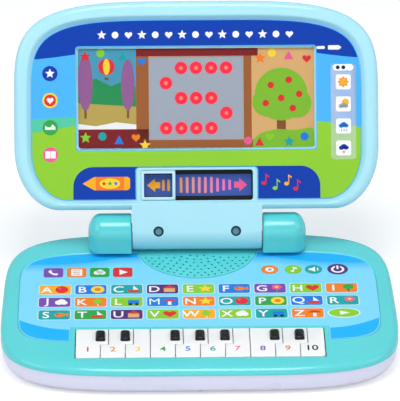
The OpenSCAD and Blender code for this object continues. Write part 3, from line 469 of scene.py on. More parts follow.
# Bottom shell. The pale tub that carries everything: a flat underside with a full round belly, screw wells,
# the battery bay's walls and seats for the door and the feet, moulded in one piece.
under_height = 1.5
belly_height = 11
belly_inset = 8
belly_turns = [math.radians(a) for a in range(0, 91, 9)]
shell_step = 0.6
bay_half = (29.5, 23.25)
bay_middle = base_middle + 1.5
bay_roof = 17.9
bay_wall = 2
door_lip = 2.15
door_seat_top = under_height + casing_wall / 2
door_screw_x = 35
door_ear_radius = 4.65
boss_radius = 4.5
screw_well_radius = 3.4
screw_floor = seam_height - 7
foot_seat_radius = 6.1
foot_top = under_height + 0.8
screw_places = [(side * x, y) for side in (-1, 1) for x, y in ((122, -62.5), (130, 0.5), (100, 65.5))]
foot_places = [(-100, -66.5), (100, -66.5), (-80, 74), (80, 74), (0, -86)]


def belly(inner, top):
    """Insets and heights of the round belly, for its outside or, set in by the wall, for its inside."""
    rounds = [(shell_step + inner + belly_inset * (1 - math.sin(a)),
               under_height + inner + (belly_height - inner) * (1 - math.cos(a))) for a in belly_turns]
    return rounds + [(shell_step + inner, top)]


def post(name, radius, place, low, high, corners=48):
    """An upright round bar; its place is counted from the middle of the base."""
    x, y = place[0], place[1] + base_middle
    return cylinder_body(name, radius, (x, y, low), (x, y, high), corners)


def bay_box(name, margin, low, high):
    """A box over the battery bay, wider than the bay by a margin on each side."""
    return box_body(name, (-bay_half[0] - margin, bay_middle - bay_half[1] - margin, low),
                    (bay_half[0] + margin, bay_middle + bay_half[1] + margin, high))


tub = stack("tub", base_outline, belly(0, seam_height))
cut(tub, stack("tub_space", base_outline, belly(casing_wall, seam_height + 1)))
fuse(tub, bay_box("bay_walls", bay_wall, under_height + 1, bay_roof + bay_wall))
for place in screw_places:
    fuse(tub, post("boss", boss_radius, place, under_height + 1, seam_height, 32))
    cut(tub, post("well", screw_well_radius, place, 0, screw_floor, 32))
cut(tub, bay_box("bay", 0, 0, bay_roof))
door_seat = bay_box("door_seat", door_lip, 0, door_seat_top)
fuse(door_seat, cylinder_body("door_ear", door_ear_radius, (door_screw_x, bay_middle, 0),
                              (door_screw_x, bay_middle, door_seat_top)))
cut(tub, door_seat)
for place in foot_places:
    cut(tub, post("seat", foot_seat_radius, place, 0, foot_top))
smooth_by_angle(tub)
lilac = moulded_plastic("lilac_abs", srgb(230, 231, 253), 0.28)
tub.data.materials.append(lilac)
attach(tub, "base")
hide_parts("bottom_shell")


# Rubber feet. Five black pads with a rounded rim and a shallow dished sole, pressed into seats in the tub.
def rubber(name, shade):
    """Matt rubber: nearly black, with a dusty drift and a fine pebble."""
    material = moulded_plastic(name, shade, 0.72, 0.03)
    material.node_tree.nodes["Principled BSDF"].inputs["Specular IOR Level"].default_value = 0.3
    return material


def edge_bevel(piece, width, segments=3, angle=40):
    """Rounds every edge sharper than the angle."""
    modifier = piece.modifiers.new("rounding", "BEVEL")
    modifier.width = width * MM
    modifier.segments = segments
    modifier.limit_method = "ANGLE"
    modifier.angle_limit = math.radians(angle)
    bpy.ops.object.select_all(action="DESELECT")
    bpy.context.view_layer.objects.active = piece
    bpy.ops.object.modifier_apply(modifier=modifier.name)


def join(name, pieces):
    """Makes one piece of several."""
    bpy.ops.object.select_all(action="DESELECT")
    for piece in pieces:
        piece.select_set(True)
    bpy.context.view_layer.objects.active = pieces[0]
    if len(pieces) > 1:
        bpy.ops.object.join()
    pieces[0].name = name
    return pieces[0]


def copies(model, offsets):
    """Like pieces with meshes of their own, one at each offset in millimetres. The model is used up."""
    pieces = []
    for offset in offsets:
        piece = model.copy()
        piece.data = model.data.copy()
        piece.data.transform(Matrix.Translation(Vector(offset) * MM))
        bpy.context.scene.collection.objects.link(piece)
        pieces.append(piece)
    bpy.data.objects.remove(model)
    return pieces


foot_radius = 6
sole_border = 1.6
sole_dish = 0.3
foot = cylinder_body("foot", foot_radius, (0, 0, 0), (0, 0, foot_top))
bpy.ops.object.mode_set(mode="EDIT")
bpy.ops.mesh.select_all(action="DESELECT")
mesh = bmesh.from_edit_mesh(foot.data)
for face in mesh.faces:
    face.select = face.normal.z < -0.9
bmesh.update_edit_mesh(foot.data)
bpy.ops.mesh.inset(thickness=sole_border * MM)
bpy.ops.transform.translate(value=(0, 0, sole_dish * MM))
bpy.ops.object.mode_set(mode="OBJECT")
edge_bevel(foot, 0.35)
feet = join("feet", copies(foot, [(x, y + base_middle, 0) for x, y in foot_places]))
smooth_by_angle(feet)
feet.data.materials.append(rubber("foot_rubber", (0.018, 0.018, 0.02)))
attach(feet, "base")
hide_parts("rubber_feet")


# Pieces inside the base. The circuit boards, loudspeaker, cells, springs and cable keep their built shape and
# get their finishes: fibreglass, steel, paper, printed cell sleeves and silicone.
def bare_metal(name, colour, roughness):
    """Bright metal with fine drawn streaks and small stains."""
    material = moulded_plastic(name, colour, roughness, 0.006)
    material.node_tree.nodes["Principled BSDF"].inputs["Metallic"].default_value = 1
    return material


def dress(material, *names):
    """Gives built nodes their finish."""
    for name in names:
        node = frame["nodes"][name]
        node.data.materials.clear()
        node.data.materials.append(material)


dress(moulded_plastic("board_green", (0.02, 0.16, 0.06), 0.4), "main_board", "key_board", "led_board")
dress(moulded_plastic("chip_black", (0.02, 0.02, 0.022), 0.5), "board_components", "speaker_frame")
dress(bare_metal("screw_steel", (0.36, 0.37, 0.39), 0.35), "board_screws", "speaker_screws", "casing_screws",
      "battery_door_screw", "key_board_screws", "led_board_screws", "lid_screws")
dress(bare_metal("spring_steel", (0.62, 0.62, 0.6), 0.28), "battery_springs", "battery_plates", "key_pivot_rod",
      "speaker_magnet")
dress(moulded_plastic("cone_paper", (0.05, 0.05, 0.055), 0.85, 0.05), "speaker_cone")
dress(moulded_plastic("cell_sleeve", (0.55, 0.56, 0.6), 0.3), "batteries")
dress(moulded_plastic("dome_silicone", (0.6, 0.6, 0.62), 0.5), "key_dome_strip")
dress(moulded_plastic("cable_jacket", (0.45, 0.04, 0.035), 0.45), "base_cable", "lid_cable")
dress(moulded_plastic("pin_acetal", (0.66, 0.66, 0.68), 0.35), "hinge_pins", "friction_rings")
dress(lilac, "battery_door")
dress(moulded_plastic("membrane", (0.56, 0.62, 0.58), 0.5), "switch_membrane")


# Keypad film. One printed polyester sheet in the deck's seat, cut out round the grille and the keys: a pale
# sky with a deeper blue along the back and in the front corners, bordered by its own clear edge.
def printed(name, colour, roughness=0.4):
    """Printer's ink under a thin matt varnish: faint mottle, small dots of wear in the gloss."""
    material = moulded_plastic(name, colour, roughness, 0.004)
    material.node_tree.nodes["Principled BSDF"].inputs["Specular IOR Level"].default_value = 0.15
    return material


film_top = -0.5
film_low = -1.0
film_gap = 0.2
ink_step = 0.05
inks = {}


def mix_ink(name, colour, roughness=0.4):
    """Adds one printing ink to the inks."""
    inks[name] = printed("ink_" + name, colour, roughness)


pale_blue = srgb(130, 218, 250)
deep_blue = srgb(30, 180, 248)
mix_ink("pale_sky", pale_blue)
mix_ink("deep_sky", deep_blue)


def film_body(name, low, high, inset):
    """A sheet of the film's plan between two levels over the deck."""
    sheet = stack(name, film_outline, ((inset, low), (inset, high)))
    cut(sheet, cylinder_body("island", grille_radius + inset, (0, 0, low - 1), (0, 0, high + 1), 128))
    cut(sheet, box_body("keys", (-keys_width / 2 - key_frame - inset, -key_back - key_length - 20, low - 1),
                        (keys_width / 2 + key_frame + inset, -key_back + key_frame_back + inset, high + 1)))
    return sheet


def curve_between(start, end, rise, steps=20):
    """Points from start to end along a low arc that swells sideways by rise."""
    start, end = Vector(start), Vector(end)
    across = (end - start).orthogonal().normalized()
    return [tuple(start.lerp(end, k / steps) + across * rise * math.sin(math.pi * k / steps))
            for k in range(steps + 1)]


def ink_plate(points, low, high, ink):
    """A closed plate of one ink between two levels."""
    plate = body_through("ink_plate", [level(points, low), level(points, high)])
    plate.data.materials.append(inks[ink])
    return plate


def film_plate(points, ink, high, low=0):
    """A plate on the film; its top and its foot are counted in ink steps over the film."""
    return ink_plate(points, film_top + low * ink_step, film_top + high * ink_step, ink)


film = place_in(film_body("film", film_low, film_top, film_gap), on_deck)
smooth_by_angle(film)
film.data.materials.append(inks["pale_sky"])
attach(film, "base")
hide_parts("keypad_overlay")

sunk = -0.4
deep_zones = []
fade_steps = 5
for step in range(fade_steps):
    share = step / (fade_steps - 1)
    drop = 10 * (1 - share)
    ink = "deep_sky"
    if step < fade_steps - 1:
        ink = "fade_%d" % step
        mix_ink(ink, tuple(b + (0.15 + 0.7 * share) * (a - b) for a, b in zip(deep_blue, pale_blue)))
    zone = [(-140, 0), (-140, -30 - drop)]
    zone += curve_between((-136, -24 - drop), (-60, -15 - drop), -4) + [(0, -12 - drop)]
    zone += curve_between((60, -15 - drop), (136, -24 - drop), -4) + [(140, -30 - drop), (140, 0)]
    deep_zones.append(film_plate(zone, ink, 0.4 + 0.6 * share, sunk))
for side in (-1, 1):
    corner = [(side * 90, -142), (side * 90, -124)]
    corner += [(side * (96 + 42 * k / 12), -121 + 16 * (k / 12) ** 2) for k in range(13)] + [(side * 140, -142)]
    deep_zones.append(film_plate(corner[::-side], "deep_sky", 1, sunk))
for zone in deep_zones:
    keep_inside(zone, film_body("trim", film_top - 0.05, film_top + 1, 1.0))
film_zones = place_in(join("film_zones", deep_zones), on_deck)
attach(film_zones, "base")


# Letter tiles. Three rows of nine printed buttons, each a coloured card with a white capital at its left and a
# small plain picture at its right, and a lime oval with an arrow at the end of the last row.
tile_width = 24
tile_height = 13.5
tile_pitch = (27.4, 18.5)
tile_row_back = 62.5
for name, colour in {
    "red": (226, 45, 50), "orange": (245, 130, 35), "amber": (250, 175, 40), "yellow": (252, 215, 60),
    "lime": (140, 205, 50), "green": (50, 165, 75), "teal": (25, 165, 165), "blue": (35, 125, 220),
    "navy": (10, 60, 165), "purple": (125, 75, 175), "plum": (85, 45, 120), "pink": (240, 95, 150),
    "brown": (135, 80, 45), "tan": (222, 175, 115), "grey": (165, 170, 170),
}.items():
    mix_ink(name, srgb(*colour))
mix_ink("white", (0.93, 0.93, 0.93))
mix_ink("black", (0.012, 0.012, 0.014))
tile_colours = (
    "amber blue teal plum lime blue purple lime orange".split(),
    "purple orange lime blue orange teal green blue teal".split(),
    "teal green plum lime amber lime teal orange".split(),
)


def round_oblong(middle, width, height, corner, steps=5):
    """Outline of a rectangle with round corners, anticlockwise."""
    x, y = middle
    points = []
    for quarter, (sx, sy) in enumerate(((1, 1), (-1, 1), (-1, -1), (1, -1))):
        for step in range(steps + 1):
            turn = math.pi / 2 * (quarter + step / steps)
            points.append((x + sx * (width / 2 - corner) + corner * math.cos(turn),
                           y + sy * (height / 2 - corner) + corner * math.sin(turn)))
    return points


def disc(middle, radius, squash=1.0, steps=28):
    return [(middle[0] + radius * math.cos(2 * math.pi * k / steps),
             middle[1] + radius * squash * math.sin(2 * math.pi * k / steps)) for k in range(steps)]


def star(middle, radius, tips=5, waist=0.45):
    return [(middle[0] + radius * (1 if k % 2 == 0 else waist) * math.cos(math.pi * (k / tips + 0.5)),
             middle[1] + radius * (1 if k % 2 == 0 else waist) * math.sin(math.pi * (k / tips + 0.5)))
            for k in range(2 * tips)]


def heart(middle, size, steps=28):
    points = []
    for k in range(steps):
        turn = 2 * math.pi * k / steps
        points.append((middle[0] + size * 0.0625 * 16 * math.sin(turn) ** 3,
                       middle[1] + size * 0.0625 * (13 * math.cos(turn) - 5 * math.cos(2 * turn)
                                                    - 2 * math.cos(3 * turn) - math.cos(4 * turn))))
    return points[::-1]


def shifted(points, middle, scale=1.0):
    return [(middle[0] + scale * x, middle[1] + scale * y) for x, y in points]


def glyph(text, height, middle, low, ink):
    """A character as a thin plate, centred on its own box."""
    bpy.ops.object.select_all(action="DESELECT")
    bpy.ops.object.text_add()
    letter = bpy.context.object
    letter.name = "glyph"
    letter.data.body = text
    letter.data.size = height * MM / 0.7
    letter.data.extrude = ink_step * MM / 2
    letter.data.offset = 0 if text == "M" else 0.02 * height * MM
    letter.data.resolution_u = 4
    bpy.ops.object.convert(target="MESH")
    letter = bpy.context.object
    corners = [v.co for v in letter.data.vertices]
    low_x, high_x = min(c.x for c in corners), max(c.x for c in corners)
    low_y, high_y = min(c.y for c in corners), max(c.y for c in corners)
    letter.data.transform(Matrix.Translation((middle[0] * MM - (low_x + high_x) / 2,
                                              middle[1] * MM - (low_y + high_y) / 2,
                                              (low + ink_step / 2) * MM)))
    bpy.ops.object.mode_set(mode="EDIT")
    bpy.ops.mesh.select_all(action="SELECT")
    bpy.ops.mesh.remove_doubles(threshold=1e-7)
    bpy.ops.mesh.normals_make_consistent(inside=False)
    bpy.ops.object.mode_set(mode="OBJECT")
    letter.data.materials.clear()
    letter.data.materials.append(inks[ink])
    return letter


# Each little picture is a list of outlines about (0, 0), some 9 mm across, with an ink for each.
pictures = [
    [(disc((0, 0), 4.4), "red"), (disc((-1.4, 1.6), 1.1), "pink"),
     ([(-0.3, 3.6), (0.4, 3.6), (0.7, 5.6), (0, 5.6)], "brown")],
    [(disc((0, 0), 4.6), "yellow"), (disc((0, 0), 2.2), "orange")],
    [([(-4.6, -1.2), (-3.2, -4), (3.2, -4), (4.6, -1.2)], "red"),
     ([(-0.2, -0.6), (3.6, -0.6), (-0.2, 4.8)], "white")],
    [([(-3.8, -4), (3.8, -4), (3.8, 1), (-3.8, 1)], "tan"), ([(-4.8, 0.8), (4.8, 0.8), (0, 4.9)], "red")],
    [(star((0, 0), 5), "yellow")],
    [(disc((-1.6, -0.4), 2.9), "white"), (disc((1.8, -0.8), 2.4), "white"), (disc((0.2, 1.2), 2.6), "white")],
    [([(-0.7, -4.6), (0.7, -4.6), (0.7, 0), (-0.7, 0)], "brown"), (disc((0, 1.4), 3.7), "green")],
    [(heart((0, 0.4), 4.6), "red")],
    [(disc((-1, 0), 3.6, 0.7), "orange"), ([(1.8, 0), (4.8, 2.4), (4.8, -2.4)], "orange"),
     (disc((-2.6, 0.6), 0.6), "black")],
    [([(-0.5, -4.6), (0.5, -4.6), (0.5, -0.5), (-0.5, -0.5)], "green")]
    + [(disc((2.2 * math.cos(a), 1.4 + 2.2 * math.sin(a)), 1.5, 1, 16), "pink") for a in (0, 1.26, 2.51, 3.77, 5.03)]
    + [(disc((0, 1.4), 1.2), "yellow")],
    [([(-1.3, -4.4), (1.3, -4.4), (1.1, 0), (-1.1, 0)], "white"), (disc((0, 0.6), 4.2, 0.62)[:15], "red")],
    [([(0, 5), (3.6, 0.8), (0, -3), (-3.6, 0.8)], "lime"),
     ([(-0.3, -3), (0.3, -3), (0.9, -5), (0.3, -5)], "white")],
    [(round_oblong((0, -0.6), 7.6, 5.4, 1), "blue"), (disc((-2.2, -3.3), 1.4), "black"),
     (disc((2.2, -3.3), 1.4), "black")],
]


def printed_picture(number, middle, low, scale):
    """Plates of one little picture, each a step above the last."""
    return [film_plate(shifted(points, middle, scale), ink, low + 1 + 0.4 * k, low + 0.4 * k)
            for k, (points, ink) in enumerate(pictures[number])]


letter_height = 8.6
letter_left = 6.3
picture_right = 5.2
picture_scale = 1.12
picture_of = (0, 1, 2, 3, 4, 8, 9, 7, 6, 5, 11, 12, 10, 4, 0, 1, 2, 9, 8, 2, 3, 7, 11, 5, 12, 10)
tiles = []
for row, colours in enumerate(tile_colours):
    for column, colour in enumerate(colours):
        number = len(tile_colours[0]) * row + column
        x = (column - 4) * tile_pitch[0]
        y = -(tile_row_back + row * tile_pitch[1])
        border = round_oblong((x, y), tile_width + 0.9, tile_height + 0.9, 2.4)
        tiles.append(film_plate(border, "white", 0.6, sunk))
        tiles.append(film_plate(round_oblong((x, y), tile_width, tile_height, 2), colour, 1))
        tiles.append(glyph(chr(ord("A") + number), letter_height, (x - letter_left, y),
                           film_top + 0.8 * ink_step, "white"))
        tiles += printed_picture(picture_of[number], (x + picture_right, y), 0.8, picture_scale)
oval = (4 * tile_pitch[0], -(tile_row_back + 2 * tile_pitch[1]))
oval_arrow = [(-3, -3), (4.4, 0), (-3, 3)]
tiles.append(film_plate(disc(oval, 12.4, 0.56, 48), "white", 1, sunk))
tiles.append(film_plate(disc(oval, 11.6, 0.53, 48), "lime", 1.6))
tiles.append(film_plate(shifted(oval_arrow, oval), "white", 2.4))
letter_tiles = place_in(join("letter_tiles", tiles), on_deck)
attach(letter_tiles, "base")


# Function buttons. Four small squares at the back left and four rounds at the back right, printed on the film
# with plain white pictograms: handset, list, cloud and arrow; disc, note, speaker and power ring.
square_y = -36.8
round_y = -34.6
round_radius = 6.65
power_place = (108, round_y)
handset = [(-4, 2.4), (-2.2, 4), (-0.9, 2), (-1.6, 1), (1, -1.6), (2, -0.9), (4, -2.2), (2.4, -4), (0, -3.4),
           (-3.4, 0)]
lines = [(round_oblong((0, y), 5.6, 0.9, 0.3), "red") for y in (-2.6, 0, 2.6)]
cloud = [(disc((-1.9, -0.6), 2.8), "white"), (disc((2.1, -0.8), 2.5), "white"), (disc((0.3, 1.2), 2.8), "white")]
play = [(-2.5, -4), (4.1, 0), (-2.5, 4)]
note = [(-1.9, -3.6), (0.6, -3.6), (0.6, 1.2), (2.9, 0.6), (2.9, 2.6), (-0.3, 3.8), (-0.3, -1.4), (-1.9, -1.4)]
horn = [(-3.8, -1.4), (-1.8, -1.4), (1.2, -3.8), (1.2, 3.8), (-1.8, 1.4), (-3.8, 1.4)]
buttons = []


def button(place, outline, ink, marks):
    """A printed button with its marks, whose outlines are counted from its middle."""
    buttons.append(film_plate(shifted(outline, place), ink, 1.6))
    for mark, mark_ink in marks:
        buttons.append(film_plate(shifted(mark, place), mark_ink, 2.6, 1))


square = round_oblong((0, 0), 15, 14, 2.2)
ring = disc((0, 0), round_radius, 1, 48)
button((-111.3, square_y), square, "purple", [(handset, "white")])
button((-93.4, square_y), square, "orange", [(round_oblong((0, 0), 8.6, 10, 0.8), "white")] + lines)
button((-75.7, square_y), square, "green", cloud)
button((-57.9, square_y), square, "red", [(play, "white")])
button((55.5, round_y), ring, "orange", [(disc((0, 0), 3.4), "white"), (star((0, 0), 2.4), "orange")])
button((73.7, round_y), ring, "lime", [(note, "white")])
button((89.4, round_y), ring, "teal", [(horn, "white"), (round_oblong((3.2, 0), 0.9, 4.4, 0.3), "white")])
button(power_place, disc((0, 0), 8, 1, 56), "plum", [(disc((0, -0.3), 5.2, 1, 48), "white")])
power_hole = disc((0, -0.3), 3.3, 1, 40)
power_gap = round_oblong((0, 3.8), 3.8, 4.4, 0.4)
power_bar = round_oblong((0, 2.6), 1.6, 5.4, 0.5)
for outline, ink, high in ((power_hole, "plum", 3.4), (power_gap, "plum", 4), (power_bar, "white", 4.6)):
    buttons.append(film_plate(shifted(outline, power_place), ink, high))
function_buttons = place_in(join("function_buttons", buttons), on_deck)
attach(function_buttons, "base")


# Piano keys. Ten glossy white levers with softly rounded fingerplates, stepped round seven black keys with
# drawn-in tops, on one steel rod. A coloured number is printed on each white key's front end.
key_rise = 0.4
key_edge = 0.6
key_end_corner = 1.6
digit_y = -150.6
digit_height = 6.2
last_digit_height = 7
key_white = moulded_plastic("key_white", (0.93, 0.93, 0.93), 0.16, 0.006)
key_black = moulded_plastic("key_black", (0.006, 0.006, 0.008), 0.2, 0.006)
key_black.node_tree.nodes["Principled BSDF"].inputs["Specular IOR Level"].default_value = 0.3
digit_inks = "red orange yellow green blue teal pink purple orange black".split()


def upright_at_top(a, b):
    return abs(a.z - b.z) > 4 and max(a.z, b.z) > key_rise - 0.02


def top_or_upright(a, b):
    return (near(a.z, key_rise, 0.02) and near(b.z, key_rise, 0.02)) or upright_at_top(a, b)


for number in range(1, key_count + 1):
    name = "white_key_%d" % number
    body = "piano_key_%d" % number
    bpy.ops.object.select_all(action="DESELECT")
    key = frame["nodes"][name].copy()
    key.data = key.data.copy()
    key.name = "white_piano_key_%d" % number
    bpy.context.scene.collection.objects.link(key)
    key.parent = None
    key.matrix_world = Matrix.Identity(4)
    key.select_set(True)
    bpy.context.view_layer.objects.active = key
    key.data.transform(on_deck.inverted())
    bpy.ops.object.mode_set(mode="EDIT")
    bpy.ops.mesh.select_all(action="SELECT")
    bpy.ops.mesh.remove_doubles(threshold=1e-6)
    bpy.ops.mesh.dissolve_limited(angle_limit=math.radians(1))
    outer_side = {1: min, key_count: max}.get(number)
    if outer_side:
        end = outer_side(corner.co.x for corner in bmesh.from_edit_mesh(key.data).verts) / MM
        round_edges(key, lambda a, b: upright_at_top(a, b) and near(a.x, end, 0.01) and near(b.x, end, 0.01),
                    key_end_corner, 4)
    round_edges(key, top_or_upright, key_edge, 3)
    bpy.ops.object.mode_set(mode="OBJECT")
    key.data.transform(on_deck)
    smooth_by_angle(key)
    key.data.materials.clear()
    key.data.materials.append(key_white)
    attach(key, body)
    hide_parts(name)
    x = (number - 0.5 - key_count / 2) * key_pitch
    height = last_digit_height if number == key_count else digit_height
    digit = place_in(glyph(str(number), height, (x, digit_y), key_rise + 0.01, digit_inks[number - 1]), on_deck)
    digit.name = "key_number_%d" % number
    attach(digit, body)

black_width = 7.5
black_length = 13
black_corner = 1.6
black_set = 4.5
black_profile = ((0, 0), (0, 0.5), (0.35, 1.5), (0.62, 2.1), (1.0, 2.4), (1.6, 2.5))
black_after = (1, 2, 4, 5, 6, 8, 9)
black_key = body_through("black_key", [
    level(round_oblong((0, -black_length / 2), black_width - 2 * inset, black_length - 2 * inset, black_corner),
          key_rise + height)
    for inset, height in black_profile
])
black_places = [((after - key_count / 2) * key_pitch, -key_back - black_set, 0) for after in black_after]
for number, (after, key) in enumerate(zip(black_after, copies(black_key, black_places)), 1):
    key.name = "black_piano_key_%d" % number
    place_in(key, on_deck)
    smooth_by_angle(key, 50)
    key.data.materials.append(key_black)
    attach(key, "piano_key_%d" % after)
    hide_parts("black_key_%d" % number)


# Lid shells. The back shell and the bezel meet on a seam round the lid's edge: pale aqua ABS with a broad
# rounded rim, the bezel sunk inside it, and one half of the barrel and neck on each of them.
lid_lean = math.radians(25.4)
on_lid = Matrix.Translation(hinge) @ Matrix.Rotation(math.pi / 2 - lid_lean, 4, "X")
lid_width = 282.6
lid_bottom = 17
lid_top = 178.6
lid_front = 14
lid_rear = -6
plate_top = 10
plate_low = 7
label_top = 10.5
face_half = (130.8, 72.55)
face_middle = 94.35
rim_slope = 2.5
barrel_radius = 14
barrel_inside = 11.5
barrel_wall = 3
barrel_edge = 1.4
pin_bore = 7
neck_top = 21
seam_gap = 0.02
window_width = 186
window_height = 80
window_middle = 103.4
window_ledge = 1.4
track_width = 87
track_height = 23.7
track_low = 24
track_middle = track_low + track_height / 2
lid_power = 4
lid_corner = (35, 48)
face_power = 4.6
face_corner = (30.5, 40.5)
lid_boss_radius = 4
lid_well_radius = 3.4
lid_well_depth = 2.2
screw_x = 30
screw_boss_radius = 5.5
screw_recess_radius = 4
screw_recess_floor = 8
lid_screw_places = [(side * x, y) for side in (-1, 1) for x, y in ((124, 38), (128, 98), (112, 152), (40, 168))]


def shield_outline(half, middle, power, corner, inset):
    """Soft above; below, a flat edge between two rounded corners of their own width and height."""
    points = []
    quarter = outline_points // 4
    for step in range(2 * quarter + 1):
        turn = math.pi * step / (2 * quarter)
        x = math.copysign(abs(math.cos(turn)) ** (2 / power), math.cos(turn))
        points.append(((half[0] - inset) * x, middle + (half[1] - inset) * math.sin(turn) ** (2 / power)))
    for side in (-1, 1):
        for step in range(quarter + 1):
            turn = math.pi * (1 if side < 0 else 1.5) + math.pi / 2 * step / quarter
            points.append((side * (half[0] - corner[0]) + (corner[0] - inset) * math.cos(turn),
                           middle - half[1] + corner[1] + (corner[1] - inset) * math.sin(turn)))
    return points


def lid_outline(inset):
    return shield_outline((lid_width / 2, (lid_top - lid_bottom) / 2), (lid_top + lid_bottom) / 2, lid_power,
                          lid_corner, inset)


def face_outline(inset):
    return shield_outline(face_half, face_middle, face_power, face_corner, inset)


def slab(name, middle, width, height, corner, low, high):
    """A plate with round corners on the lid."""
    return body_through(name, [level(round_oblong(middle, width, height, corner), z) for z in (low, high)])


def window_slab(name, wider, corner, low, high):
    """A plate over the window, larger than it by wider."""
    return slab(name, (0, window_middle), window_width + wider, window_height + wider, corner, low, high)


def track_slab(name, wider, taller, corner, low, high):
    """A plate over the swipe track, larger than it by wider and taller."""
    return slab(name, (0, track_middle), track_width + wider, track_height + taller, corner, low, high)


def barrel_with_neck(front):
    """One half of the barrel and of the neck, cut at the seam."""
    barrel = cylinder_body("barrel", barrel_radius, (-barrel_length / 2, 0, 0), (barrel_length / 2, 0, 0), 128)
    edge_bevel(barrel, barrel_edge, 4)
    fuse(barrel, box_body("neck", (-barrel_length / 2, 0, lid_rear), (barrel_length / 2, neck_top, lid_front - 0.01)))
    low, high = (seam_gap, 40) if front else (-40, -seam_gap)
    keep_inside(barrel, box_body("half", (-80, -20, low), (80, 60, high)))
    return barrel


def hollow_barrel(shell):
    """Opens the barrel and the neck, and bores the barrel's ends for the hinge pins."""
    room_end = barrel_length / 2 - barrel_wall
    cut(shell, cylinder_body("room", barrel_inside, (-room_end, 0, 0), (room_end, 0, 0), 64))
    cut(shell, box_body("neck_room", (-room_end, 0, lid_rear + casing_wall),
                        (room_end, neck_top + 4, lid_front - 2 * casing_wall)))
    cut(shell, cylinder_body("bore", pin_bore, (-60, 0, 0), (60, 0, 0), 64))


aqua = moulded_plastic("aqua_abs", srgb(170, 228, 243), 0.2)
edge_rounds = [(edge_radius * (1 - math.sin(a)), edge_radius * (1 - math.cos(a))) for a in edge_turns]
back_shell = stack("lid_back_shell", lid_outline,
                   [(inset, lid_rear + rise) for inset, rise in edge_rounds] + [(0, -seam_gap)])
fuse(back_shell, barrel_with_neck(False))
cut(back_shell, stack("back_room", lid_outline, ((casing_wall + edge_radius / 2, lid_rear + casing_wall),
                                                 (casing_wall, -0.5), (casing_wall, 1))))
hollow_barrel(back_shell)
for x, y in lid_screw_places:
    fuse(back_shell, cylinder_body("boss", lid_boss_radius, (x, y, lid_rear + 1), (x, y, -0.1), 32))
    cut(back_shell, cylinder_body("well", lid_well_radius, (x, y, lid_rear - 1), (x, y, lid_rear + lid_well_depth),
                                  32))
place_in(back_shell, on_lid)
smooth_by_angle(back_shell)
back_shell.data.materials.append(aqua)
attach(back_shell, "lid")
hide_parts("lid_back")

bezel = stack("lid_bezel_shell", lid_outline,
              [(0, seam_gap)] + [(inset, lid_front - rise) for rise, inset in edge_rounds])
cut(bezel, stack("face_recess", face_outline, (
    (rim_slope, plate_top), (rim_slope - 0.4, 10.9), (0.2, 12.9), (-0.2, 13.45), (-0.8, 13.85),
    (-1.6, lid_front + 0.01), (-2, 17))))
fuse(bezel, barrel_with_neck(True))
track_frame = track_slab("track_frame", 7, 3.4, 2.6, plate_top - 0.5, label_top + 0.6)
edge_bevel(track_frame, 0.5)
fuse(bezel, track_frame)
cut(bezel, stack("bezel_room", lid_outline,
                 ((casing_wall, -1), (casing_wall, plate_low - 2), (casing_wall + 2, plate_low))))
hollow_barrel(bezel)
cut(bezel, window_slab("window", -2 * window_ledge, 2, plate_low - 1, 20))
cut(bezel, window_slab("window_seat", 0.3, 2.6, label_top - 1.5, 20))
cut(bezel, track_slab("track", 0, 0, 2.2, plate_low - 1, 20))
for side in (-1, 1):
    x = side * screw_x
    fuse(bezel, cylinder_body("screw_boss", screw_boss_radius, (x, 0, 1), (x, 0, 12), 32))
    cut(bezel, cylinder_body("recess", screw_recess_radius, (x, 0, screw_recess_floor), (x, 0, 20)))
place_in(bezel, on_lid)
smooth_by_angle(bezel)
bezel.data.materials.append(aqua)
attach(bezel, "lid")
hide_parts("lid_bezel")


# Hinge screws. Two steel screws with a cross in the head, at the bottom of their wells in the front half of the
# barrel. The heads' grey-teal colour is painted shade and reflection of the teal well, and the dark ring round
# each head is painted shadow at the bottom of the well.
screw_head_radius = 3.1
screw_head_top = 10.4
screw_head_edge = 0.7
cross_reach = 1.8
cross_half_width = 0.45
cross_floor = 9.6
shank_radius = 1.4
shank_end = -2
shadow_ring_radius = 3.95
shadow_ring_bore = 3.15
shadow_ring_top = 9
# The heads' steel is coloured grey-teal: painted shade and reflection of the teal well.
steel_with_painted_shade = bare_metal("steel_with_painted_shade", (0.12, 0.27, 0.33), 0.32)
# A dark blue ring round each head: painted shadow at the bottom of the well.
well_shadow_paint = moulded_plastic("painted_well_shadow", srgb(20, 58, 84), 0.4)
screw_head = cylinder_body("screw_head", screw_head_radius, (0, 0, screw_recess_floor), (0, 0, screw_head_top), 40)
edge_bevel(screw_head, screw_head_edge, 3)
for across, along in ((cross_reach, cross_half_width), (cross_half_width, cross_reach)):
    cut(screw_head, box_body("slot", (-across, -along, cross_floor), (across, along, 12)))
screw_shank = cylinder_body("shank", shank_radius, (0, 0, shank_end), (0, 0, screw_recess_floor + 0.1), 24)
painted_shadow_ring = cylinder_body("ring", shadow_ring_radius, (0, 0, screw_recess_floor + 0.02), (0, 0, shadow_ring_top))
cut(painted_shadow_ring, cylinder_body("middle", shadow_ring_bore, (0, 0, 7), (0, 0, 10)))
for part, metal in ((screw_head, steel_with_painted_shade), (screw_shank, steel_with_painted_shade), (painted_shadow_ring, well_shadow_paint)):
    part.data.materials.append(metal)
screw = join("screw", [screw_head, screw_shank, painted_shadow_ring])
hinge_screws = place_in(join("barrel_screws", copies(screw, [(-screw_x, 0, 0), (screw_x, 0, 0)])), on_lid)
smooth_by_angle(hinge_screws)
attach(hinge_screws, "lid")
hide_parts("hinge_screws")


# Face label. A printed sheet glued on the bezel: a navy band over a blue sky, green hills below, a navy panel
# round the swipe track, and plain pictures where the toy carries its title.
label_gap = 0.3
frame_corner = 2.8
window_corner = 2.6
label_step = 0.04


def label_body(name, low, high, inset):
    """A sheet of the label's plan, open for the window and the track's frame."""
    sheet = stack(name, face_outline, [(rim_slope + label_gap + inset, z) for z in (low, high)])
    cut(sheet, window_slab("window", label_gap + 2 * inset, window_corner, low - 1, high + 1))
    cut(sheet, track_slab("frame", 7.4 + 2 * inset, 3.8 + 2 * inset, frame_corner, low - 1, high + 1))
    return sheet


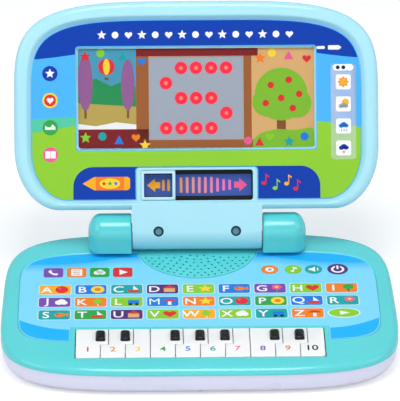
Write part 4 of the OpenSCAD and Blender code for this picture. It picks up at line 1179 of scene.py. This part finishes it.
mix_ink("lid_sky", srgb(75, 178, 250), 0.3)
mix_ink("hill", srgb(144, 204, 52), 0.3)
mix_ink("far_hill", srgb(85, 200, 160), 0.3)
mix_ink("lid_navy", srgb(0, 60, 168), 0.3)
mix_ink("veil", (0.93, 0.93, 0.93), 0.35)
inks["veil"].node_tree.nodes["Principled BSDF"].inputs["Alpha"].default_value = 0.32

label = place_in(label_body("face_label", plate_top, label_top, 0), on_lid)
label.data.materials.append(inks["lid_sky"])
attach(label, "lid")
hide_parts("lid_label")

navy_band = curve_between((-140, 133), (-85, 139), -0.8) + [(0, 141)]
navy_band += curve_between((85, 139), (140, 133), -0.8) + [(140, 190), (-140, 190)]
far_hill = [(-140, 60), (-60, 60), (-60, 89), (-85, 89.5), (-110, 88.5), (-140, 87)]
near_hill = [(-140, 0), (140, 0), (140, 78), (105, 83.5), (80, 86.5), (40, 86), (-40, 86), (-80, 85), (-100, 81.5),
             (-118, 78), (-140, 76.5)]
track_panel = round_oblong((0, 26), 191.6, 48.6, 15.5, 10)
zones = []
for outline, ink, step in ((navy_band, "lid_navy", 1), (far_hill, "far_hill", 1), (near_hill, "hill", 2),
                           (track_panel, "lid_navy", 3)):
    zone = ink_plate(outline, label_top - 0.02, label_top + step * label_step, ink)
    keep_inside(zone, label_body("trim", label_top - 0.1, label_top + 1, 0.5))
    zones.append(zone)
label_print = place_in(join("label_print", zones), on_lid)
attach(label_print, "lid")

marks = []


def mark(points, ink, step=0):
    """One plate of a label picture; a later step lies on an earlier one."""
    marks.append(ink_plate(points, label_top + step * label_step, label_top + (step + 4) * label_step, ink))


title_y = 152.5
title_start = -73
title_pitch = 10.4
for number in range(15):
    place = (title_start + number * title_pitch, title_y)
    mark((star(place, 3.7), disc(place, 2.6, 1, 24), heart(place, 2.9))[number % 3], "white")
mark(round_oblong((107, 141.8), 9, 3.4, 0.8), "white")
mark(round_oblong((112, 141.8), 1.2, 1.6, 0.3), "white")
mark(round_oblong((96.8, 141.8), 6.5, 2.2, 1), "white")
round_x = -113.3
badge_radius = 5.9
mark(disc((round_x, 123), badge_radius, 1, 40), "navy")
mark(star((round_x, 123), 3.9), "white", 1)
mark(disc((round_x, 102.1), badge_radius, 1, 40), "yellow")
mark(disc((round_x, 102.1), 4.6, 1, 40), "red", 1)
mark(heart((round_x, 102.1), 2.7), "white", 2)
mark(disc((round_x, 81), badge_radius, 1, 40), "green")
mark([(round_x - 4, 79.4), (round_x + 4, 79.4), (round_x + 4, 81.4), (round_x + 2, 83.6), (round_x, 81.4),
      (round_x - 2, 81.4), (round_x - 4, 82.6)], "white", 1)
mark(disc((round_x, 60), badge_radius, 1, 40), "pink")
mark(round_oblong((round_x - 2.1, 60), 3.9, 5.6, 0.6), "white", 1)
mark(round_oblong((round_x + 2.1, 60), 3.9, 5.6, 0.6), "white", 1)
strip_x = 114.1
weather_inks = (None, "grey", "blue", "navy")
lightning = [(0.9, -0.8), (-1.4, -3.4), (0, -3.2), (-0.6, -5.2), (1.6, -2.6), (0.4, -2.7)]
mark(round_oblong((strip_x, 92), 19.4, 74, 3), "veil")
mark(round_oblong((strip_x, 126.3), 16, 5, 2.4), "white", 1)
for x in (-4.2, 0.2):
    mark(disc((strip_x + x, 126.3), 1.5, 1, 16), "black", 2)
for number, y in enumerate((115, 97.9, 80.8, 63.7)):
    mark(round_oblong((strip_x, y), 11.7, 11.7, 1.6), "white", 1)
    if number == 0:
        mark(star((strip_x, y), 4.4, 8, 0.7), "orange", 2)
        mark(disc((strip_x, y), 2.6), "amber", 3)
    if number == 1:
        mark(disc((strip_x + 1.6, y + 1.4), 2.7), "amber", 2)
    if number > 0:
        rise = 0.8 if number > 1 else -1
        for dx, dy, radius in ((-1.8, -0.6, 1.9), (0.2, 0.3, 2.3), (2.1, -0.5, 1.8)):
            mark(disc((strip_x + dx, y + dy + rise), radius, 0.85), weather_inks[number], 3)
    if number == 2:
        for dx in (-1.6, 0.4, 2.2):
            mark(round_oblong((strip_x + dx, y - 3.2), 0.6, 1.8, 0.25), "teal", 3)
    if number == 3:
        mark(shifted(lightning, (strip_x, y)), "amber", 4)
crayon_y = 37.4
crayon = [(-88.5, 0), (-79.5, -5.2), (-53.6, -5.2), (-51.8, -3.8), (-51.8, 3.8), (-53.6, 5.2), (-79.5, 5.2)]
crayon_sleeve = [(-78.4, -5.2), (-56.4, -5.2), (-56.4, 5.2), (-78.4, 5.2)]
mark(shifted(crayon, (0, crayon_y)), "amber", 1)
mark(shifted(crayon_sleeve, (0, crayon_y)), "orange", 2)
mark(disc((-67.4, crayon_y), 8, 0.5, 40), "yellow", 3)
for number, ink in enumerate(("red", "green", "blue")):
    mark(star((-72 + 4.6 * number, crayon_y), 2), ink, 4)
note_stem = [(0.3, -3), (1, -3), (1, 2.4), (3, 1.2), (3, 2.4), (0.3, 4.4)]
for x, y, ink in ((53, 40, "red"), (61.6, 36, "lime"), (70.6, 39.4, "amber"), (77.6, 35.4, "red")):
    mark(disc((x - 1, y - 3), 1.9, 0.8, 16), ink, 1)
    mark(shifted(note_stem, (x, y)), ink, 1)
label_marks = place_in(join("label_marks", marks), on_lid)
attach(label_marks, "lid")


# Display. A clear window over a printed card with an opening in its middle, a grey diffuser behind it and a
# grid of five by five lights, of which thirteen are lit. The card shows a plain toy garden.
glass = moulded_plastic("clear_window", (0.02, 0.022, 0.025), 0.08, 0.002)
glass_nodes, glass_links = glass.node_tree.nodes, glass.node_tree.links
see_through = glass_nodes.new("ShaderNodeBsdfTransparent")
glancing = glass_nodes.new("ShaderNodeFresnel")
side_seen = glass_nodes.new("ShaderNodeNewGeometry")
from_front = glass_nodes.new("ShaderNodeMath")
from_front.operation = "SUBTRACT"
from_front.inputs[0].default_value = 1
outer_shine = glass_nodes.new("ShaderNodeMath")
outer_shine.operation = "MULTIPLY"
clear_or_shine = glass_nodes.new("ShaderNodeMixShader")
glass_links.new(side_seen.outputs["Backfacing"], from_front.inputs[1])
glass_links.new(from_front.outputs[0], outer_shine.inputs[0])
glass_links.new(glancing.outputs["Fac"], outer_shine.inputs[1])
glass_links.new(outer_shine.outputs[0], clear_or_shine.inputs["Fac"])
glass_links.new(see_through.outputs["BSDF"], clear_or_shine.inputs[1])
glass_links.new(glass_nodes["Principled BSDF"].outputs["BSDF"], clear_or_shine.inputs[2])
glass_links.new(clear_or_shine.outputs["Shader"], glass_nodes["Material Output"].inputs["Surface"])
window = window_slab("display_window", 0, 2.5, label_top - 1.5, label_top)
edge_bevel(window, 0.25)
place_in(window, on_lid)
smooth_by_angle(window)
window.data.materials.append(glass)
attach(window, "lid")
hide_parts("screen_lens")

panel_width = 73.4
panel_height = 64.4
card_low = 6.5
card_top = 7.0
card = window_slab("printed_card", 0, 0.5, card_low, card_top)
cut(card, slab("opening", (0, window_middle), panel_width, panel_height, 0.3, 0, 20))
place_in(card, on_lid)
card.data.materials.append(inks["tan"])
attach(card, "lid")
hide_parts("screen_card")

card_marks = []


def card_mark(points, ink, step=0):
    """One plate of the card's picture; a later step lies on an earlier one."""
    card_marks.append(ink_plate(points, card_top - 0.02, card_top + 0.05 + step * 0.03, ink))


def card_box(left, right, low, high, ink, step=0):
    card_mark([(left, low), (right, low), (right, high), (left, high)], ink, step)


for name, colour in {
    "wall": (160, 95, 50), "dark_red": (130, 30, 35), "mauve": (150, 95, 150), "garden": (40, 145, 85),
    "leaf": (130, 190, 50), "sand": (190, 165, 85), "card_sky": (70, 155, 185), "card_edge": (45, 45, 70),
}.items():
    mix_ink(name, srgb(*colour))
card_half = 92.8
card_edge = 1.1
picture_low = window_middle - 39.8
picture_high = window_middle + 39.8
card_box(-card_half, -38, picture_low, picture_high, "sand")
card_box(-card_half, -36.9, picture_low, 79.5, "dark_red", 1)
card_box(-36.9, card_half, picture_low, 71, "wall", 1)
card_box(-46.6, -36.9, 71, picture_high, "wall", 1)
card_box(36.9, 43, 71, picture_high, "wall", 1)
card_box(-46.6, 48, 136, picture_high, "dark_red", 2)
card_box(-card_half, -46.6, 108, picture_high, "card_sky", 1)
card_mark([(-card_half, 100), (-46.6, 97), (-46.6, 112), (-56, 117), (-66, 113), (-78, 119), (-card_half, 113)],
          "garden", 2)
card_mark([(-card_half, 79.5), (-46.6, 79.5), (-46.6, 83), (-62, 85), (-78, 82), (-card_half, 84)], "white", 2)
for middle, height in ((-86, 44), (-53, 40)):
    card_box(middle - 0.9, middle + 0.9, 88, 98, "brown", 3)
    crown = disc((0, 94 + height / 2), height / 2, 1, 40)
    card_mark([(middle + 0.26 * x, y) for x, y in crown], "mauve", 3.4)
card_mark(disc((-69.5, 128), 6.4, 1, 36), "red", 3)
card_mark(disc((-69.5, 128), 2.6, 2.4, 36), "yellow", 4)
card_box(-71, -68, 117.6, 119.8, "brown", 3)
card_box(62.5, 69.5, 71, 98, "brown", 2)
card_mark(disc((66, 106), 20.5, 1, 56), "leaf", 3)
card_mark(disc((55, 100), 11.5, 1, 40), "leaf", 3.3)
card_mark(disc((78, 99), 11.5, 1, 40), "leaf", 3.6)
card_mark([(44, picture_low), (card_half, picture_low), (card_half, 78), (88, 80), (76, 78), (62, 79), (50, 76),
           (44, 71)], "leaf", 2.6)
for x, y in ((58, 113), (72, 117), (66, 103), (80, 106), (54, 99), (75, 95)):
    card_mark(disc((x, y), 2.6, 1, 24), "red", 4)
shape_places = ((-86, 136), (-74, 138.5), (-57, 136), (-42, 132), (50, 134), (59, 138), (72, 136), (86, 133.5),
                (-86, 73), (-73, 74), (-60, 71), (-47, 73), (-40, 67), (40, 70), (49, 69), (57, 73), (72, 69),
                (84, 73))
shape_inks = ("red", "yellow", "blue", "lime", "pink", "orange", "teal")
triangle = [(-3.6, -3), (3.6, -3), (0, 3.8)]
for number, place in enumerate(shape_places):
    shape = (star(place, 4.6), disc(place, 3.2, 1, 24), shifted(triangle, place), heart(place, 3.4))[number % 4]
    card_mark(shape, shape_inks[number * 3 % 7], 5)
outer = card_half + 0.1
card_box(-outer, outer, picture_low, picture_low + card_edge, "card_edge", 6)
card_box(-outer, outer, picture_high - card_edge, picture_high, "card_edge", 6)
card_box(-outer, card_edge + 0.1 - outer, picture_low, picture_high, "card_edge", 6)
card_box(outer - card_edge - 0.1, outer, picture_low, picture_high, "card_edge", 6)
card_print = place_in(join("card_print", card_marks), on_lid)
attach(card_print, "lid")

diffuser = slab("grey_diffuser", (0, window_middle), panel_width + 6, panel_height + 6, 0.4, card_low - 0.8, card_low)
place_in(diffuser, on_lid)
diffuser.data.materials.append(moulded_plastic("diffuser_grey", srgb(160, 168, 182), 0.5, 0.02))
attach(diffuser, "lid")
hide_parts("led_diffuser")


def glowing(name, colour, strength):
    """A lit print: its own colour plus a little light from behind."""
    material = printed(name, colour)
    shader = material.node_tree.nodes["Principled BSDF"]
    shader.inputs["Emission Color"].default_value = (*colour, 1)
    shader.inputs["Emission Strength"].default_value = strength
    return material


inks["dot_red"] = glowing("dot_red", srgb(248, 40, 62), 0.3)
inks["dot_core"] = glowing("dot_core", srgb(252, 120, 110), 0.35)
light_pitch = 11.7
lit = ["01111", "10000", "01110", "00001", "11110"]
dots = []
for row, line in enumerate(lit):
    for column, state in enumerate(line):
        if state == "1":
            middle = ((column - 2) * light_pitch, window_middle + (2 - row) * light_pitch)
            dots.append(ink_plate(disc(middle, 4.9, 1, 40), card_low - 0.02, card_low + 0.05, "dot_red"))
            dots.append(ink_plate(disc(middle, 1.5, 1, 32), card_low, card_low + 0.08, "dot_core"))
light_dots = place_in(join("light_dots", dots), on_lid)
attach(light_dots, "lid")
dress(moulded_plastic("reflector_white", (0.85, 0.85, 0.85), 0.4), "led_reflector")
dress(moulded_plastic("led_red", srgb(240, 70, 70), 0.2), "leds")


# Swipe track. A black tray behind the bezel holds a printed strip: a blue field with an arrow at each end and bars
# between them, on a black ground that is painted shade of the sunk track; a pale frame with a clear middle slides
# over it in the bezel's slot.
dress(inks["black"], "swipe_tray")
mix_ink("strip", srgb(62, 92, 170))
strip_top = 4.3
strip_low = 4.0
# The strip's black ground, left bare above and below the blue field, is painted shade of the sunk track.
strip = track_slab("swipe_print", 0, 0, 0.4, strip_low, strip_top)
strip.data.materials.append(inks["black"])
strip_marks = [strip]
strip_field = [(-42.8, -8.4), (42.4, -8.4), (42.4, 8.4), (-42.8, 8.4)]


def strip_mark(points, ink, step):
    """One plate of the strip's print, its points counted from the middle line of the track."""
    strip_marks.append(ink_plate(shifted(points, (0, track_middle)), strip_top - 0.02,
                                 strip_top + 0.04 * (step + 1), ink))


strip_mark(strip_field, "strip", 0)
arrow = [(-5.6, 0), (0.6, 5.2), (0.6, 2.4), (4.6, 2.4), (4.6, -2.4), (0.6, -2.4), (0.6, -5.2)]
strip_mark(shifted(arrow, (-33, 0)), "amber", 1)
strip_mark([(33.6 - x, y) for x, y in arrow][::-1], "pink", 1)
bar_low = srgb(235, 165, 60)
bar_high = srgb(240, 110, 190)
bar_places = [-26, -21.9] + [-12.2 + 4.72 * k for k in range(9)]
bar_heights = (8.4, 9, 12, 12.6, 12.6, 12.6, 12.6, 12.6, 10.7, 9, 7.8)
for number, (x, height) in enumerate(zip(bar_places, bar_heights)):
    share = number / (len(bar_places) - 1)
    mix_ink("bar_%d" % number, tuple(a + share * (b - a) for a, b in zip(bar_low, bar_high)))
    strip_mark(round_oblong((x, 0), 2.1, height, 0.7, 3), "bar_%d" % number, 1)
place_in(join("swipe_print", strip_marks), on_lid)
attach(strip, "lid")
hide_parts("swipe_strip")

slide_x = -43.35
slide_width = 26.7
slide_low = 4.45
slide_high = 11.5
slide_height = track_height - 0.8
slide_border = 2.3
slide_middle = (slide_x + slide_width / 2, track_middle)
slider = slab("swipe_frame_moulding", slide_middle, slide_width, slide_height, 1.8, slide_low, slide_high)
edge_bevel(slider, 0.4)
lip = slab("lip", slide_middle, slide_width, slide_height + 3.2, 0.5, slide_low, slide_low + 1.6)
fuse(slider, lip)
opening = slab("opening", slide_middle, slide_width - 2 * slide_border, slide_height - 2 * slide_border, 0.8, 0, 20)
cut(slider, opening)
place_in(slider, on_lid)
smooth_by_angle(slider)
slider.data.materials.append(moulded_plastic("slider_aqua", srgb(188, 230, 242), 0.2))
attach(slider, "swipe_slider")
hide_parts("swipe_frame")
slide_window = slab("swipe_window", slide_middle, slide_width - 2 * slide_border, slide_height - 2 * slide_border,
                    0.8, slide_low + 1.6, slide_low + 2.6)
place_in(slide_window, on_lid)
slide_window.data.materials.append(glass)
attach(slide_window, "swipe_slider")
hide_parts("swipe_lens")
